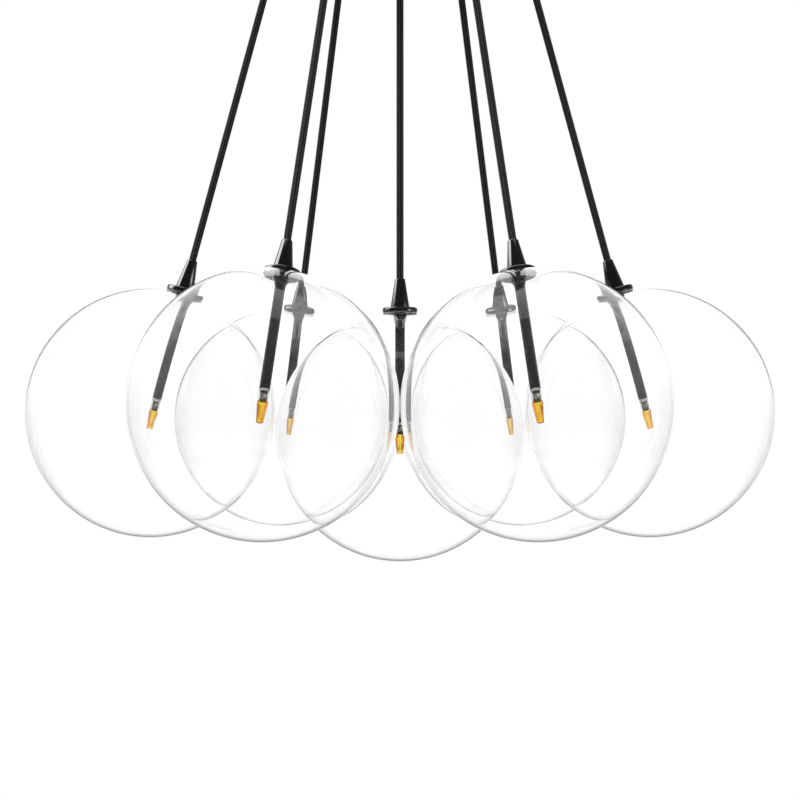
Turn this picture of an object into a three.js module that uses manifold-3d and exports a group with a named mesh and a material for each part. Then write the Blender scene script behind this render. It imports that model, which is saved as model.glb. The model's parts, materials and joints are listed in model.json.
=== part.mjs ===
// A ceiling chandelier: seven clear glass globes that touch one another in a cluster, one in the middle and six in a
// ring round it. Each hangs on a black braided cord from one round canopy, and holds a plug-in lamp on a stem.
// Millimetres, +Z up, front towards -Y. The origin is the middle of the face that meets the ceiling.
import * as THREE from "three";
import { mergeVertices } from "three/addons/utils/BufferGeometryUtils.js";
import Module from "manifold-3d";

const wasm = await Module();
wasm.setup();

// Cluster
const RING_NAMES = ["right", "back_right", "back_left", "left", "front_left", "front_right"];
const RING_DROP = 490; // from the ceiling to the ring globes' centres
const CENTER_DROP = 24; // the middle globe's centre is this much lower
const CORD_LEAN_DEGREES = 15; // how far a ring cord leans out from upright
const SWING_DEGREES = 25; // how much further it can swing out
const GLOBE_GAP = 0.5; // between neighbouring globes

// Fits
const CLEARANCE = 0.3; // between pieces that seat on or in each other
const OVERRUN = 2; // how far a cut runs past the face that it opens

// Globe
const GLOBE_DIAMETER = 250;
const GLOBE_WALL = 1.2;
const GLOBE_HOLE_DIAMETER = 14;
const GLOBE_SIDES = 22;
const GLOBE_BANDS = 9;

// Cord
const CORD_DIAMETER = 7;
const CORD_SIDES = 8;
const CORD_STEPS = 5;
const CORD_END_DIAMETER = 6.8; // the round end that turns in the grip's mouth
const CORD_END_BANDS = 4;
// Places down a cord, from its swivel in the canopy's grip to its end inside the cap.
const RING_CORD_ROUTE = [0, -10, -22, -40, -62, -86, -110, -134, -158, -182, -206, -230, -254, -278, -298, -316.5];
const CENTER_CORD_ROUTE = [0, -10, -22, -42, -64, -88, -112, -136, -160, -186, -212, -238, -262, -286, -306, -324.6];

// Cap, the tapered piece that the cord runs into
const CAP_BASE_DIAMETER = 19;
const CAP_TOP_DIAMETER = 10;
const CAP_HEIGHT = 29;
const CAP_EDGE = 0.8; // the chamfer round its top
const CAP_SIDES = 14;

// Flange, the round piece that sits on the globe
const FLANGE_DIAMETER = 35;
const FLANGE_THICKNESS = 5;
const FLANGE_EDGE_RADIUS = 2;
const FLANGE_EDGE_STEPS = 2;
const FLANGE_SIDES = 16;

// Stem
const STEM_DIAMETER = 10;
const STEM_BORE_DIAMETER = 7.6;
const STEM_END_ABOVE_CENTER = 15;
const STEM_IN_CAP = 20;
const STEM_SIDES = 12;

// Clamp, the bar inside the globe that holds the glass against the flange; it goes in through the hole end first
const CLAMP_LENGTH = 19;
const CLAMP_WIDTH = 13;
const CLAMP_THICKNESS = 3;
const CLAMP_WASHER = 0.6; // room for a soft washer between the bar's ends and the glass
const CLAMP_END_STEPS = 3;

// Lampholder
const HOLDER_LENGTH = 12;
const HOLDER_RIM_DIAMETER = 9.6;
const HOLDER_RIM_THICKNESS = 1.2;
const PIN_PITCH = 4;
const PIN_DIAMETER = 1;
const PIN_LENGTH = 7;
const PIN_HOLE_DEPTH = 9;
const PIN_CLEARANCE = 0.3;
const HOLDER_SIDES = 10;
const PIN_SIDES = 6;

// Lamp: a clear collar over an amber tapered lens
const COLLAR_DIAMETER = 9.6;
const COLLAR_LENGTH = 10.3;
const LENS_TOP_DIAMETER = 10.2;
const LENS_TIP_DIAMETER = 6.4;
const LENS_LENGTH = 20;
const LENS_EDGE = 0.5;
const LAMP_SIDES = 10;

// Canopy
const CANOPY_DEPTH = 28;
const CANOPY_WALL = 1.5;
const CANOPY_EDGE_RADIUS = 6;
const CANOPY_MARGIN = 17.5; // from the ring of cord grips to the canopy's outside
const CANOPY_SIDES = 40;
const CANOPY_EDGE_STEPS = 2;
const GRIP_DIAMETER = 14;
const GRIP_TIP_DIAMETER = 11;
const GRIP_LENGTH = 8;
const GRIP_TAPER_LENGTH = 4;
const GRIP_SIDES = 12;

// Ceiling bracket, a strap with its ends bent down
const BRACKET_WIDTH = 30;
const BRACKET_THICKNESS = 2.5;
const BRACKET_EAR_LENGTH = 16;
const BRACKET_BEND_RADIUS = 3;
const BRACKET_BEND_STEPS = 3;
const SLOT_WIDTH = 5.5;
const SLOT_LENGTH = 24;
const SLOT_FROM_END = 28; // from the strap's end to the middle of its slot
const SLOT_END_STEPS = 4;
const CABLE_HOLE_DIAMETER = 12;
const CABLE_HOLE_FROM_CENTER = 20;
const CABLE_HOLE_SIDES = 12;

// Driver and terminal block, screwed up against the bracket
const DRIVER_LENGTH = 72;
const DRIVER_WIDTH = 34;
const DRIVER_HEIGHT = 17;
const DRIVER_CORNER = 3;
const DRIVER_FROM_CENTER = 16;
const DRIVER_TAB_LENGTH = 7;
const DRIVER_TAB_HEIGHT = 3;
const DRIVER_TAB_HOLE_DIAMETER = 3.6;
const BLOCK_LENGTH = 30;
const BLOCK_WIDTH = 16;
const BLOCK_HEIGHT = 13;
const BLOCK_STEP = 4; // the ledge along each side, where the wires go in
const BLOCK_FROM_CENTER = 32;
const WIRE_HOLE_DIAMETER = 3.4;
const WIRE_HOLE_DEPTH = 3;
const WIRE_WAYS = 3;
const SMALL_HOLE_SIDES = 6;

// Worked out from the sizes above
const globeRadius = GLOBE_DIAMETER / 2;
const cordRadius = CORD_DIAMETER / 2;
const stemRadius = STEM_DIAMETER / 2;
const ringRadius = GLOBE_DIAMETER + GLOBE_GAP;
const cordLean = THREE.MathUtils.degToRad(CORD_LEAN_DEGREES);
const furthestLean = cordLean + THREE.MathUtils.degToRad(SWING_DEGREES);
const swivelBelowGrip = cordRadius * Math.sin(furthestLean) + CLEARANCE; // the cord's shoulder clears the grip's mouth
const swivelZ = -(CANOPY_DEPTH + GRIP_LENGTH + swivelBelowGrip);
const ringHang = (RING_DROP + swivelZ) / Math.cos(cordLean); // along the cord, from its swivel to the globe's centre
const centerHang = RING_DROP + CENTER_DROP + swivelZ;
const swivelRingRadius = ringRadius - (RING_DROP + swivelZ) * Math.tan(cordLean);
const canopyRadius = swivelRingRadius + CANOPY_MARGIN;

// Heights along a pendant's own axis, from its globe's centre
const holeRadius = GLOBE_HOLE_DIAMETER / 2;
const holeRimZ = Math.sqrt(globeRadius ** 2 - holeRadius ** 2);
const flangeZ = holeRimZ + CLEARANCE;
const capZ = flangeZ + FLANGE_THICKNESS + CLEARANCE;
const stemTopZ = capZ + STEM_IN_CAP;
const clampTopZ = Math.sqrt((globeRadius - GLOBE_WALL) ** 2 - (CLAMP_LENGTH / 2) ** 2) - CLAMP_WASHER;
const holderRimZ = STEM_END_ABOVE_CENTER - CLEARANCE - HOLDER_RIM_THICKNESS;
const collarTopZ = holderRimZ - CLEARANCE;
const lensTopZ = collarTopZ - COLLAR_LENGTH;

function finish(color, roughness, metalness) {
  return new THREE.MeshStandardMaterial({ color, roughness, metalness });
}

const MATERIALS = {
  glass: finish(0xf4f7f7, 0.03, 0),
  blackMetal: finish(0x141414, 0.35, 0.6),
  braid: finish(0x242424, 0.9, 0),
  ceramic: finish(0xe6e2d8, 0.55, 0),
  lamp: finish(0xe8b04a, 0.15, 0),
  steel: finish(0xa9abad, 0.45, 1),
  driverCase: finish(0xe9e9e6, 0.5, 0),
};
MATERIALS.glass.transparent = true;
MATERIALS.glass.opacity = 0.3;

// A solid turned about Z. The profile is [radius, z] points that run anticlockwise, and starts and ends on the axis or
// closes on itself.
function turned(profile, sides) {
  const points = profile.map(([radius, z]) => new THREE.Vector2(radius, z));
  return new THREE.LatheGeometry(points, sides).rotateX(Math.PI / 2);
}

// The profile of a ring or tube, closed on itself.
function closed(profile) {
  return [...profile, profile[0]];
}

function arc(centerX, centerY, radius, fromAngle, toAngle, steps) {
  return Array.from({ length: steps + 1 }, (_, i) => {
    const angle = fromAngle + ((toAngle - fromAngle) * i) / steps;
    return [centerX + radius * Math.cos(angle), centerY + radius * Math.sin(angle)];
  });
}

function outline(points) {
  return new THREE.Shape(points.map(([x, y]) => new THREE.Vector2(x, y)));
}

function extruded(shape, depth) {
  return new THREE.ExtrudeGeometry(shape, { depth, bevelEnabled: false });
}

function rod(radius, fromZ, toZ, sides) {
  return turned([[0, fromZ], [radius, fromZ], [radius, toZ], [0, toZ]], sides);
}

// A closed solid for joining and cutting, without the flat triangles that a turned profile leaves on its axis.
function solidOf(geometry) {
  const bare = geometry.clone();
  bare.deleteAttribute("normal");
  bare.deleteAttribute("uv");
  const merged = mergeVertices(bare);
  const corners = merged.index ? [...merged.index.array] : [...merged.attributes.position.array.keys()];
  const kept = [];
  for (let i = 0; i < corners.length; i += 3) {
    const [a, b, c] = corners.slice(i, i + 3);
    if (a !== b && b !== c && c !== a) kept.push(a, b, c);
  }
  return new wasm.Manifold(
    new wasm.Mesh({ numProp: 3, vertProperties: merged.attributes.position.array, triVerts: new Uint32Array(kept) }),
  );
}

function geometryOf(solid) {
  const mesh = solid.getMesh();
  return new THREE.BufferGeometry()
    .setAttribute("position", new THREE.BufferAttribute(mesh.vertProperties, 3))
    .setIndex(new THREE.BufferAttribute(mesh.triVerts, 1));
}

function joined(...geometries) {
  return geometryOf(geometries.map(solidOf).reduce((whole, piece) => whole.add(piece)));
}

function cut(geometry, ...tools) {
  return geometryOf(tools.map(solidOf).reduce((whole, tool) => whole.subtract(tool), solidOf(geometry)));
}

function mesh(name, geometry, material) {
  const made = new THREE.Mesh(geometry, material);
  made.name = name;
  return made;
}

// Globe: an outer and an inner sphere, joined by the edge of the hole at the top.
function globeShape() {
  const innerRadius = globeRadius - GLOBE_WALL;
  const outerHole = Math.acos(holeRadius / globeRadius);
  const innerHole = Math.acos(holeRadius / innerRadius);
  const outside = arc(0, 0, globeRadius, -Math.PI / 2, outerHole, GLOBE_BANDS);
  const inside = arc(0, 0, innerRadius, innerHole, -Math.PI / 2, GLOBE_BANDS);
  outside[0][0] = 0;
  inside[GLOBE_BANDS][0] = 0;
  return turned([...outside, ...inside], GLOBE_SIDES);
}

// Cord: a straight braided tube, with a round top end that turns in its grip.
function cordShape(route) {
  const section = outline(
    Array.from({ length: CORD_SIDES }, (_, i) => {
      const angle = (2 * Math.PI * i) / CORD_SIDES;
      return [cordRadius * Math.cos(angle), cordRadius * Math.sin(angle)];
    }),
  );
  const path = new THREE.CatmullRomCurve3(route.map((z) => new THREE.Vector3(0, 0, z)));
  const tube = new THREE.ExtrudeGeometry(section, { steps: CORD_STEPS, extrudePath: path, bevelEnabled: false });
  const ball = new THREE.SphereGeometry(CORD_END_DIAMETER / 2, CORD_SIDES, CORD_END_BANDS);
  return joined(tube, ball.rotateX(Math.PI / 2));
}

// Cap: a cone with a bore for the cord, wider from below for the stem.
function capShape() {
  const baseRadius = CAP_BASE_DIAMETER / 2;
  const topRadius = CAP_TOP_DIAMETER / 2;
  const topZ = capZ + CAP_HEIGHT;
  const slope = (baseRadius - topRadius) / CAP_HEIGHT;
  const boreRadius = cordRadius + CLEARANCE;
  const socketRadius = stemRadius + CLEARANCE;
  const shoulderZ = stemTopZ + CLEARANCE;
  return turned(
    closed([
      [socketRadius, capZ],
      [baseRadius, capZ],
      [topRadius + slope * CAP_EDGE, topZ - CAP_EDGE],
      [topRadius - CAP_EDGE, topZ],
      [boreRadius, topZ],
      [boreRadius, shoulderZ],
      [socketRadius, shoulderZ],
    ]),
    CAP_SIDES,
  );
}

// Flange: a disc with a rounded rim and a hole for the stem.
function flangeShape() {
  const straight = FLANGE_DIAMETER / 2 - FLANGE_EDGE_RADIUS;
  const topZ = flangeZ + FLANGE_THICKNESS;
  const lowEdge = arc(straight, flangeZ + FLANGE_EDGE_RADIUS, FLANGE_EDGE_RADIUS, -Math.PI / 2, 0, FLANGE_EDGE_STEPS);
  const highEdge = arc(straight, topZ - FLANGE_EDGE_RADIUS, FLANGE_EDGE_RADIUS, 0, Math.PI / 2, FLANGE_EDGE_STEPS);
  const boreRadius = stemRadius + CLEARANCE;
  return turned(closed([[boreRadius, flangeZ], ...lowEdge, ...highEdge, [boreRadius, topZ]]), FLANGE_SIDES);
}

function stemShape() {
  const boreRadius = STEM_BORE_DIAMETER / 2;
  return turned(
    closed([
      [boreRadius, STEM_END_ABOVE_CENTER],
      [stemRadius, STEM_END_ABOVE_CENTER],
      [stemRadius, stemTopZ],
      [boreRadius, stemTopZ],
    ]),
    STEM_SIDES,
  );
}

// Clamp: a bar with round ends, longer than the globe's hole and narrower than it, drilled for the stem.
function clampShape() {
  const endRadius = CLAMP_WIDTH / 2;
  const endY = CLAMP_LENGTH / 2 - endRadius;
  const bar = outline([
    ...arc(0, endY, endRadius, 0, Math.PI, 2 * CLAMP_END_STEPS),
    ...arc(0, -endY, endRadius, Math.PI, 2 * Math.PI, 2 * CLAMP_END_STEPS),
  ]);
  const stemHole = arc(0, 0, stemRadius + CLEARANCE, 2 * Math.PI, 0, STEM_SIDES);
  bar.holes.push(new THREE.Path(stemHole.map(([x, y]) => new THREE.Vector2(x, y))));
  return extruded(bar, CLAMP_THICKNESS).translate(0, 0, clampTopZ - CLAMP_THICKNESS);
}

// Lampholder: an insert in the stem's end with a rim below it, and two holes for the lamp's pins.
function lampholderShape() {
  const bodyRadius = STEM_BORE_DIAMETER / 2 - CLEARANCE;
  const rimRadius = HOLDER_RIM_DIAMETER / 2;
  const rimTopZ = holderRimZ + HOLDER_RIM_THICKNESS;
  const topZ = rimTopZ + HOLDER_LENGTH;
  const body = turned(
    [
      [0, holderRimZ],
      [rimRadius, holderRimZ],
      [rimRadius, rimTopZ],
      [bodyRadius, rimTopZ],
      [bodyRadius, topZ],
      [0, topZ],
    ],
    HOLDER_SIDES,
  );
  const pinHole = rod(PIN_DIAMETER / 2 + PIN_CLEARANCE, holderRimZ - OVERRUN, holderRimZ + PIN_HOLE_DEPTH, PIN_SIDES);
  const holes = pinPlaces().map((x) => pinHole.clone().translate(x, 0, 0));
  return cut(body, ...holes);
}

function pinPlaces() {
  return [-PIN_PITCH / 2, PIN_PITCH / 2];
}

// Lamp: the clear collar, the tapered lens below it, and the two pins that plug into the lampholder.
function lampShape() {
  const collarRadius = COLLAR_DIAMETER / 2;
  const tipRadius = LENS_TIP_DIAMETER / 2;
  const tipZ = lensTopZ - LENS_LENGTH;
  const body = turned(
    [
      [0, tipZ],
      [tipRadius - LENS_EDGE, tipZ],
      [tipRadius, tipZ + LENS_EDGE],
      [LENS_TOP_DIAMETER / 2, lensTopZ - LENS_EDGE],
      [collarRadius, lensTopZ],
      [collarRadius, collarTopZ],
      [0, collarTopZ],
    ],
    LAMP_SIDES,
  );
  const pin = rod(PIN_DIAMETER / 2, collarTopZ - PIN_DIAMETER, collarTopZ + PIN_LENGTH, PIN_SIDES);
  const pins = pinPlaces().map((x) => pin.clone().translate(x, 0, 0));
  return joined(body, ...pins);
}

// The pieces that turn with a globe, in the frame of its centre.
function pendantHead(name) {
  const head = new THREE.Group();
  head.add(
    mesh(`cap_${name}`, capShape(), MATERIALS.blackMetal),
    mesh(`flange_${name}`, flangeShape(), MATERIALS.blackMetal),
    mesh(`stem_${name}`, stemShape(), MATERIALS.blackMetal),
    mesh(`globe_${name}`, globeShape(), MATERIALS.glass),
    mesh(`clamp_${name}`, clampShape(), MATERIALS.blackMetal),
    mesh(`lampholder_${name}`, lampholderShape(), MATERIALS.ceramic),
    mesh(`lamp_${name}`, lampShape(), MATERIALS.lamp),
  );
  return head;
}

// A cord and its head, hung from the cord's swivel. The pendant's own Z runs up the cord.
function pendant(name, swivel, upAlongCord, hang, route) {
  const group = new THREE.Group();
  group.position.copy(swivel);
  group.quaternion.setFromUnitVectors(new THREE.Vector3(0, 0, 1), upAlongCord);
  const head = pendantHead(name);
  head.position.z = -hang;
  group.add(mesh(`cord_${name}`, cordShape(route), MATERIALS.braid), head);
  return group;
}

function ringAngle(index) {
  return (2 * Math.PI * index) / RING_NAMES.length;
}

function ringPendant(name, index) {
  const angle = ringAngle(index);
  const swivel = new THREE.Vector3(swivelRingRadius * Math.cos(angle), swivelRingRadius * Math.sin(angle), swivelZ);
  const up = new THREE.Vector3(
    -Math.sin(cordLean) * Math.cos(angle),
    -Math.sin(cordLean) * Math.sin(angle),
    Math.cos(cordLean),
  );
  return pendant(name, swivel, up, ringHang, RING_CORD_ROUTE);
}

function centerPendant() {
  const up = new THREE.Vector3(0, 0, 1);
  return pendant("center", new THREE.Vector3(0, 0, swivelZ), up, centerHang, CENTER_CORD_ROUTE);
}

// Canopy cover: a shallow pan, open towards the ceiling, with a cord grip under it for each cord.
function canopyShape() {
  const innerEdgeRadius = CANOPY_EDGE_RADIUS - CANOPY_WALL;
  const edgeCenter = [canopyRadius - CANOPY_EDGE_RADIUS, CANOPY_EDGE_RADIUS - CANOPY_DEPTH];
  const pan = turned(
    [
      [0, -CANOPY_DEPTH],
      ...arc(...edgeCenter, CANOPY_EDGE_RADIUS, -Math.PI / 2, 0, CANOPY_EDGE_STEPS),
      [canopyRadius, 0],
      [canopyRadius - CANOPY_WALL, 0],
      ...arc(...edgeCenter, innerEdgeRadius, 0, -Math.PI / 2, CANOPY_EDGE_STEPS),
      [0, CANOPY_WALL - CANOPY_DEPTH],
    ],
    CANOPY_SIDES,
  );
  const places = [[0, 0], ...RING_NAMES.map((_, i) => [
    swivelRingRadius * Math.cos(ringAngle(i)),
    swivelRingRadius * Math.sin(ringAngle(i)),
  ])];
  const mouthZ = -CANOPY_DEPTH - GRIP_LENGTH;
  const grip = turned(
    [
      [0, mouthZ],
      [GRIP_TIP_DIAMETER / 2, mouthZ],
      [GRIP_DIAMETER / 2, mouthZ + GRIP_TAPER_LENGTH],
      [GRIP_DIAMETER / 2, CANOPY_WALL / 2 - CANOPY_DEPTH],
      [0, CANOPY_WALL / 2 - CANOPY_DEPTH],
    ],
    GRIP_SIDES,
  );
  const seatRadius = cordRadius + CLEARANCE; // of the ball-shaped space that the cord's round end turns in
  const boreRadius = Math.sqrt(seatRadius ** 2 - swivelBelowGrip ** 2);
  const bore = rod(boreRadius, mouthZ - OVERRUN, CANOPY_WALL + OVERRUN - CANOPY_DEPTH, GRIP_SIDES);
  const grips = places.map(([x, y]) => grip.clone().translate(x, y, 0));
  const bores = places.map(([x, y]) => bore.clone().translate(x, y, 0));
  return cut(joined(pan, ...grips), ...bores);
}

// Ceiling bracket: a strap bent down at both ends, where the cover's side screws meet it. It has two slots for the
// ceiling screws and a hole for the supply cable.
function bracketShape() {
  const wallRadius = (canopyRadius - CANOPY_WALL) * Math.cos(Math.PI / CANOPY_SIDES) - CLEARANCE;
  const reach = Math.sqrt(wallRadius ** 2 - (BRACKET_WIDTH / 2) ** 2);
  const bend = BRACKET_BEND_RADIUS;
  const innerBend = bend - BRACKET_THICKNESS;
  const right = Math.PI / 2;
  const profile = outline([
    ...arc(bend - reach, -bend, bend, 2 * right, right, BRACKET_BEND_STEPS),
    ...arc(reach - bend, -bend, bend, right, 0, BRACKET_BEND_STEPS),
    [reach, -BRACKET_EAR_LENGTH],
    [reach - BRACKET_THICKNESS, -BRACKET_EAR_LENGTH],
    ...arc(reach - bend, -bend, innerBend, 0, right, BRACKET_BEND_STEPS),
    ...arc(bend - reach, -bend, innerBend, right, 2 * right, BRACKET_BEND_STEPS),
    [BRACKET_THICKNESS - reach, -BRACKET_EAR_LENGTH],
    [-reach, -BRACKET_EAR_LENGTH],
  ]);
  const strap = extruded(profile, BRACKET_WIDTH).translate(0, 0, -BRACKET_WIDTH / 2).rotateX(right);
  const cutDepth = BRACKET_THICKNESS + 2 * OVERRUN;
  const endX = (SLOT_LENGTH - SLOT_WIDTH) / 2;
  const slot = extruded(
    outline([
      ...arc(endX, 0, SLOT_WIDTH / 2, -right, right, SLOT_END_STEPS),
      ...arc(-endX, 0, SLOT_WIDTH / 2, right, 3 * right, SLOT_END_STEPS),
    ]),
    cutDepth,
  ).translate(0, 0, OVERRUN - cutDepth);
  const slots = [SLOT_FROM_END - reach, reach - SLOT_FROM_END].map((x) => slot.clone().translate(x, 0, 0));
  const cableHole = rod(CABLE_HOLE_DIAMETER / 2, OVERRUN - cutDepth, OVERRUN, CABLE_HOLE_SIDES);
  return cut(strap, ...slots, cableHole.translate(-CABLE_HOLE_FROM_CENTER, 0, 0));
}

// Driver: a moulded case with chamfered long edges, and a screw tab at each end.
function driverShape() {
  const topZ = -BRACKET_THICKNESS - CLEARANCE;
  const half = DRIVER_WIDTH / 2;
  const body = extruded(
    outline([
      [-half, 0],
      [-half, DRIVER_CORNER - DRIVER_HEIGHT],
      [DRIVER_CORNER - half, -DRIVER_HEIGHT],
      [half - DRIVER_CORNER, -DRIVER_HEIGHT],
      [half, DRIVER_CORNER - DRIVER_HEIGHT],
      [half, 0],
    ]),
    DRIVER_LENGTH,
  );
  body.rotateX(Math.PI / 2).rotateZ(Math.PI / 2).translate(DRIVER_FROM_CENTER, 0, topZ);
  const tabs = new THREE.BoxGeometry(DRIVER_LENGTH + 2 * DRIVER_TAB_LENGTH, half, DRIVER_TAB_HEIGHT);
  const middleX = DRIVER_FROM_CENTER + DRIVER_LENGTH / 2;
  tabs.translate(middleX, 0, topZ - DRIVER_TAB_HEIGHT / 2);
  const holeFromMiddle = (DRIVER_LENGTH + DRIVER_TAB_LENGTH) / 2;
  const holes = [-holeFromMiddle, holeFromMiddle].map((x) =>
    rod(DRIVER_TAB_HOLE_DIAMETER / 2, topZ - DRIVER_TAB_HEIGHT - OVERRUN, topZ + OVERRUN, SMALL_HOLE_SIDES)
      .translate(middleX + x, 0, 0),
  );
  return cut(joined(body, tabs), ...holes);
}

// Terminal block: a stepped bar with a row of wire entries down each side.
function terminalBlockShape() {
  const topZ = -BRACKET_THICKNESS - CLEARANCE;
  const half = BLOCK_WIDTH / 2;
  const body = extruded(
    outline([
      [-half, 0],
      [-half, BLOCK_STEP - BLOCK_HEIGHT],
      [BLOCK_STEP - half, -BLOCK_HEIGHT],
      [half - BLOCK_STEP, -BLOCK_HEIGHT],
      [half, BLOCK_STEP - BLOCK_HEIGHT],
      [half, 0],
    ]),
    BLOCK_LENGTH,
  );
  body.rotateX(Math.PI / 2).rotateZ(Math.PI / 2).translate(-BLOCK_LENGTH / 2, 0, 0);
  const holes = [];
  for (let way = 0; way < WIRE_WAYS; way += 1) {
    const x = ((way + 0.5) / WIRE_WAYS - 0.5) * BLOCK_LENGTH;
    const entry = rod(WIRE_HOLE_DIAMETER / 2, half - WIRE_HOLE_DEPTH, half + OVERRUN, SMALL_HOLE_SIDES);
    holes.push(
      entry.clone().rotateX(Math.PI / 2).translate(x, 0, -BLOCK_STEP),
      entry.clone().rotateX(-Math.PI / 2).translate(x, 0, -BLOCK_STEP),
    );
  }
  return cut(body, ...holes).translate(-BLOCK_FROM_CENTER - BLOCK_LENGTH / 2, 0, topZ);
}

const chandelier = new THREE.Group();
chandelier.add(
  mesh("canopy_cover", canopyShape(), MATERIALS.blackMetal),
  mesh("ceiling_bracket", bracketShape(), MATERIALS.steel),
  mesh("led_driver", driverShape(), MATERIALS.driverCase),
  mesh("terminal_block", terminalBlockShape(), MATERIALS.ceramic),
  centerPendant(),
  ...RING_NAMES.map(ringPendant),
);

export default chandelier;
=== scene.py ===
"""The finished look of a cluster chandelier: seven clear globes on black braided cords under one canopy.

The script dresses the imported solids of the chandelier. Each sub-assembly is a class that holds its sizes in
metres and makes its own meshes. Each finish is a small frozen class that makes one material. main() builds
them in order.
"""

from __future__ import annotations

import json
import logging
import math
from dataclasses import dataclass
from enum import Enum
from functools import cache
from typing import Sequence

import bmesh
import bpy
from mathutils import Matrix, Vector

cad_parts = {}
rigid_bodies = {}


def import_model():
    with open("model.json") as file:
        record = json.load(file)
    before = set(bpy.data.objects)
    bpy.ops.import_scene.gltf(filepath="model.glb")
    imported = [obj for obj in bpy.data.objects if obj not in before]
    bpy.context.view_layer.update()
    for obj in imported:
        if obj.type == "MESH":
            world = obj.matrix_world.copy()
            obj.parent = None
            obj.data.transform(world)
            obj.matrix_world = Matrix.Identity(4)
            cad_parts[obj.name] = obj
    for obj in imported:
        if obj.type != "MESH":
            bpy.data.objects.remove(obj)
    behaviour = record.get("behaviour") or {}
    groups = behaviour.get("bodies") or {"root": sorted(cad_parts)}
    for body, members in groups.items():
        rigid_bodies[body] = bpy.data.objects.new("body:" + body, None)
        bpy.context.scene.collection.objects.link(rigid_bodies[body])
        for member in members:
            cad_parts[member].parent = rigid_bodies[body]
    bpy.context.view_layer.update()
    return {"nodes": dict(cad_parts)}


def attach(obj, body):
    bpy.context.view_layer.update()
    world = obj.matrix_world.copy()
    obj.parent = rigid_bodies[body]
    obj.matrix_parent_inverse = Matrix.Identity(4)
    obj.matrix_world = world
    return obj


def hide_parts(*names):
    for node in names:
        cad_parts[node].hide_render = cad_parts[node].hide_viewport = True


LOG = logging.getLogger("chandelier")
WELD = 1e-7  # points that are nearer than this are one
TURN = 2 * math.pi
SOFT = (0.0003, 2)  # width and steps of a slightly rounded edge
STILL = Matrix.Identity(4)  # the place of a mesh that is made where it belongs

Colour = tuple[float, float, float, float]
Inputs = dict[str | int, object]
Levels = tuple[tuple[float, float], ...]
Outline = Sequence[tuple[float, ...]]
Place = tuple[float, float, float]
Socket = bpy.types.NodeSocket


class Slot(str, Enum):
    """The record's material slots, which the new pieces' labels name."""

    GLASS = "clear_glass"
    METAL = "black_metal"
    BRAID = "braid"
    CERAMIC = "ceramic"
    LAMP = "amber_lens"
    ZINC = "zinc_steel"
    TERMINAL = "terminal_plastic"


class Ray(str, Enum):
    """What the world and the floor can tell of a ray: its kind, and in MIRRORED how often it was mirrored."""

    CAMERA = "Is Camera Ray"
    GLOSSY = "Is Glossy Ray"
    TRANSMISSION = "Is Transmission Ray"
    SINGULAR = "Is Singular Ray"
    MIRRORED = "Glossy Depth"


class Wiring:
    """A node tree with short ways to add its nodes and join them."""

    def __init__(self, tree: bpy.types.NodeTree) -> None:
        """Takes the material's, world's or group's tree and empties it."""
        self.tree = tree
        tree.nodes.clear()

    def node(self, kind: str, values: Inputs | None = None, **settings: object) -> bpy.types.Node:
        """Adds a node.

        Args:
            kind: The node's Blender type.
            values: Numbers, colours or other nodes' outputs, for each input by its name or number.
            **settings: The node's own settings.

        Returns:
            The new node.
        """
        made = self.tree.nodes.new(kind)
        for key, value in settings.items():
            setattr(made, key, value)
        for key, value in (values or {}).items():
            if isinstance(value, Socket):
                self.tree.links.new(value, made.inputs[key])
            else:
                made.inputs[key].default_value = value
        return made

    def maths(self, operation: str, *values: object) -> Socket:
        """Adds a sum of that kind on the values and gives its result."""
        return self.node("ShaderNodeMath", dict(enumerate(values)), operation=operation).outputs[0]

    def spread(self, values: Inputs) -> Socket:
        """Adds a change from one range of numbers to another and gives its result."""
        return self.node("ShaderNodeMapRange", values).outputs["Result"]

    def noise(self, place: Socket, scale: object, detail: float) -> Socket:
        """Adds noise of that scale, per metre, and gives its strength."""
        values = {"Vector": place, "Scale": scale, "Detail": detail}
        return self.node("ShaderNodeTexNoise", values).outputs["Fac"]

    def facing(self) -> Socket:
        """Gives how far the surface turns its edge to the eye, from 0 to 1."""
        return self.node("ShaderNodeLayerWeight", {"Blend": 0.5}).outputs["Facing"]

    def ramp(self, factor: Socket, stops: Sequence[tuple[float, Colour]]) -> Socket:
        """Adds a colour ramp.

        Args:
            factor: What it reads.
            stops: Place and colour of each stop.

        Returns:
            Its colour output.
        """
        made = self.node("ShaderNodeValToRGB", {"Fac": factor})
        elements = made.color_ramp.elements
        while len(elements) < len(stops):
            elements.new(1.0)
        for element, (place, colour) in zip(elements, stops):
            element.position, element.color = place, colour
        return made.outputs["Color"]

    def greys(self, factor: Socket, stops: Levels) -> Socket:
        """Adds a ramp of greys, from the place and level of each stop."""
        return self.ramp(factor, [(place, grey(level)) for place, level in stops])

    def blend(self, factor: object, first: object, second: object) -> Socket:
        """Mixes two colours by the second one's share."""
        return self.node("ShaderNodeMix", {0: factor, 6: first, 7: second}, data_type="RGBA").outputs[2]

    def choose(self, factor: object, first: object, second: object) -> Socket:
        """Mixes two numbers by the second one's share."""
        return self.node("ShaderNodeMix", {0: factor, 2: first, 3: second}).outputs[0]

    def shader(self, values: Inputs) -> Socket:
        """Adds the surface's shader and gives its output."""
        return self.node("ShaderNodeBsdfPrincipled", values).outputs["BSDF"]


def grey(level: float) -> Colour:
    """A neutral colour of that level."""
    return (level, level, level, 1.0)


def rgb(red: float, green: float, blue: float) -> Colour:
    """A solid colour."""
    return (red, green, blue, 1.0)


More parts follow.
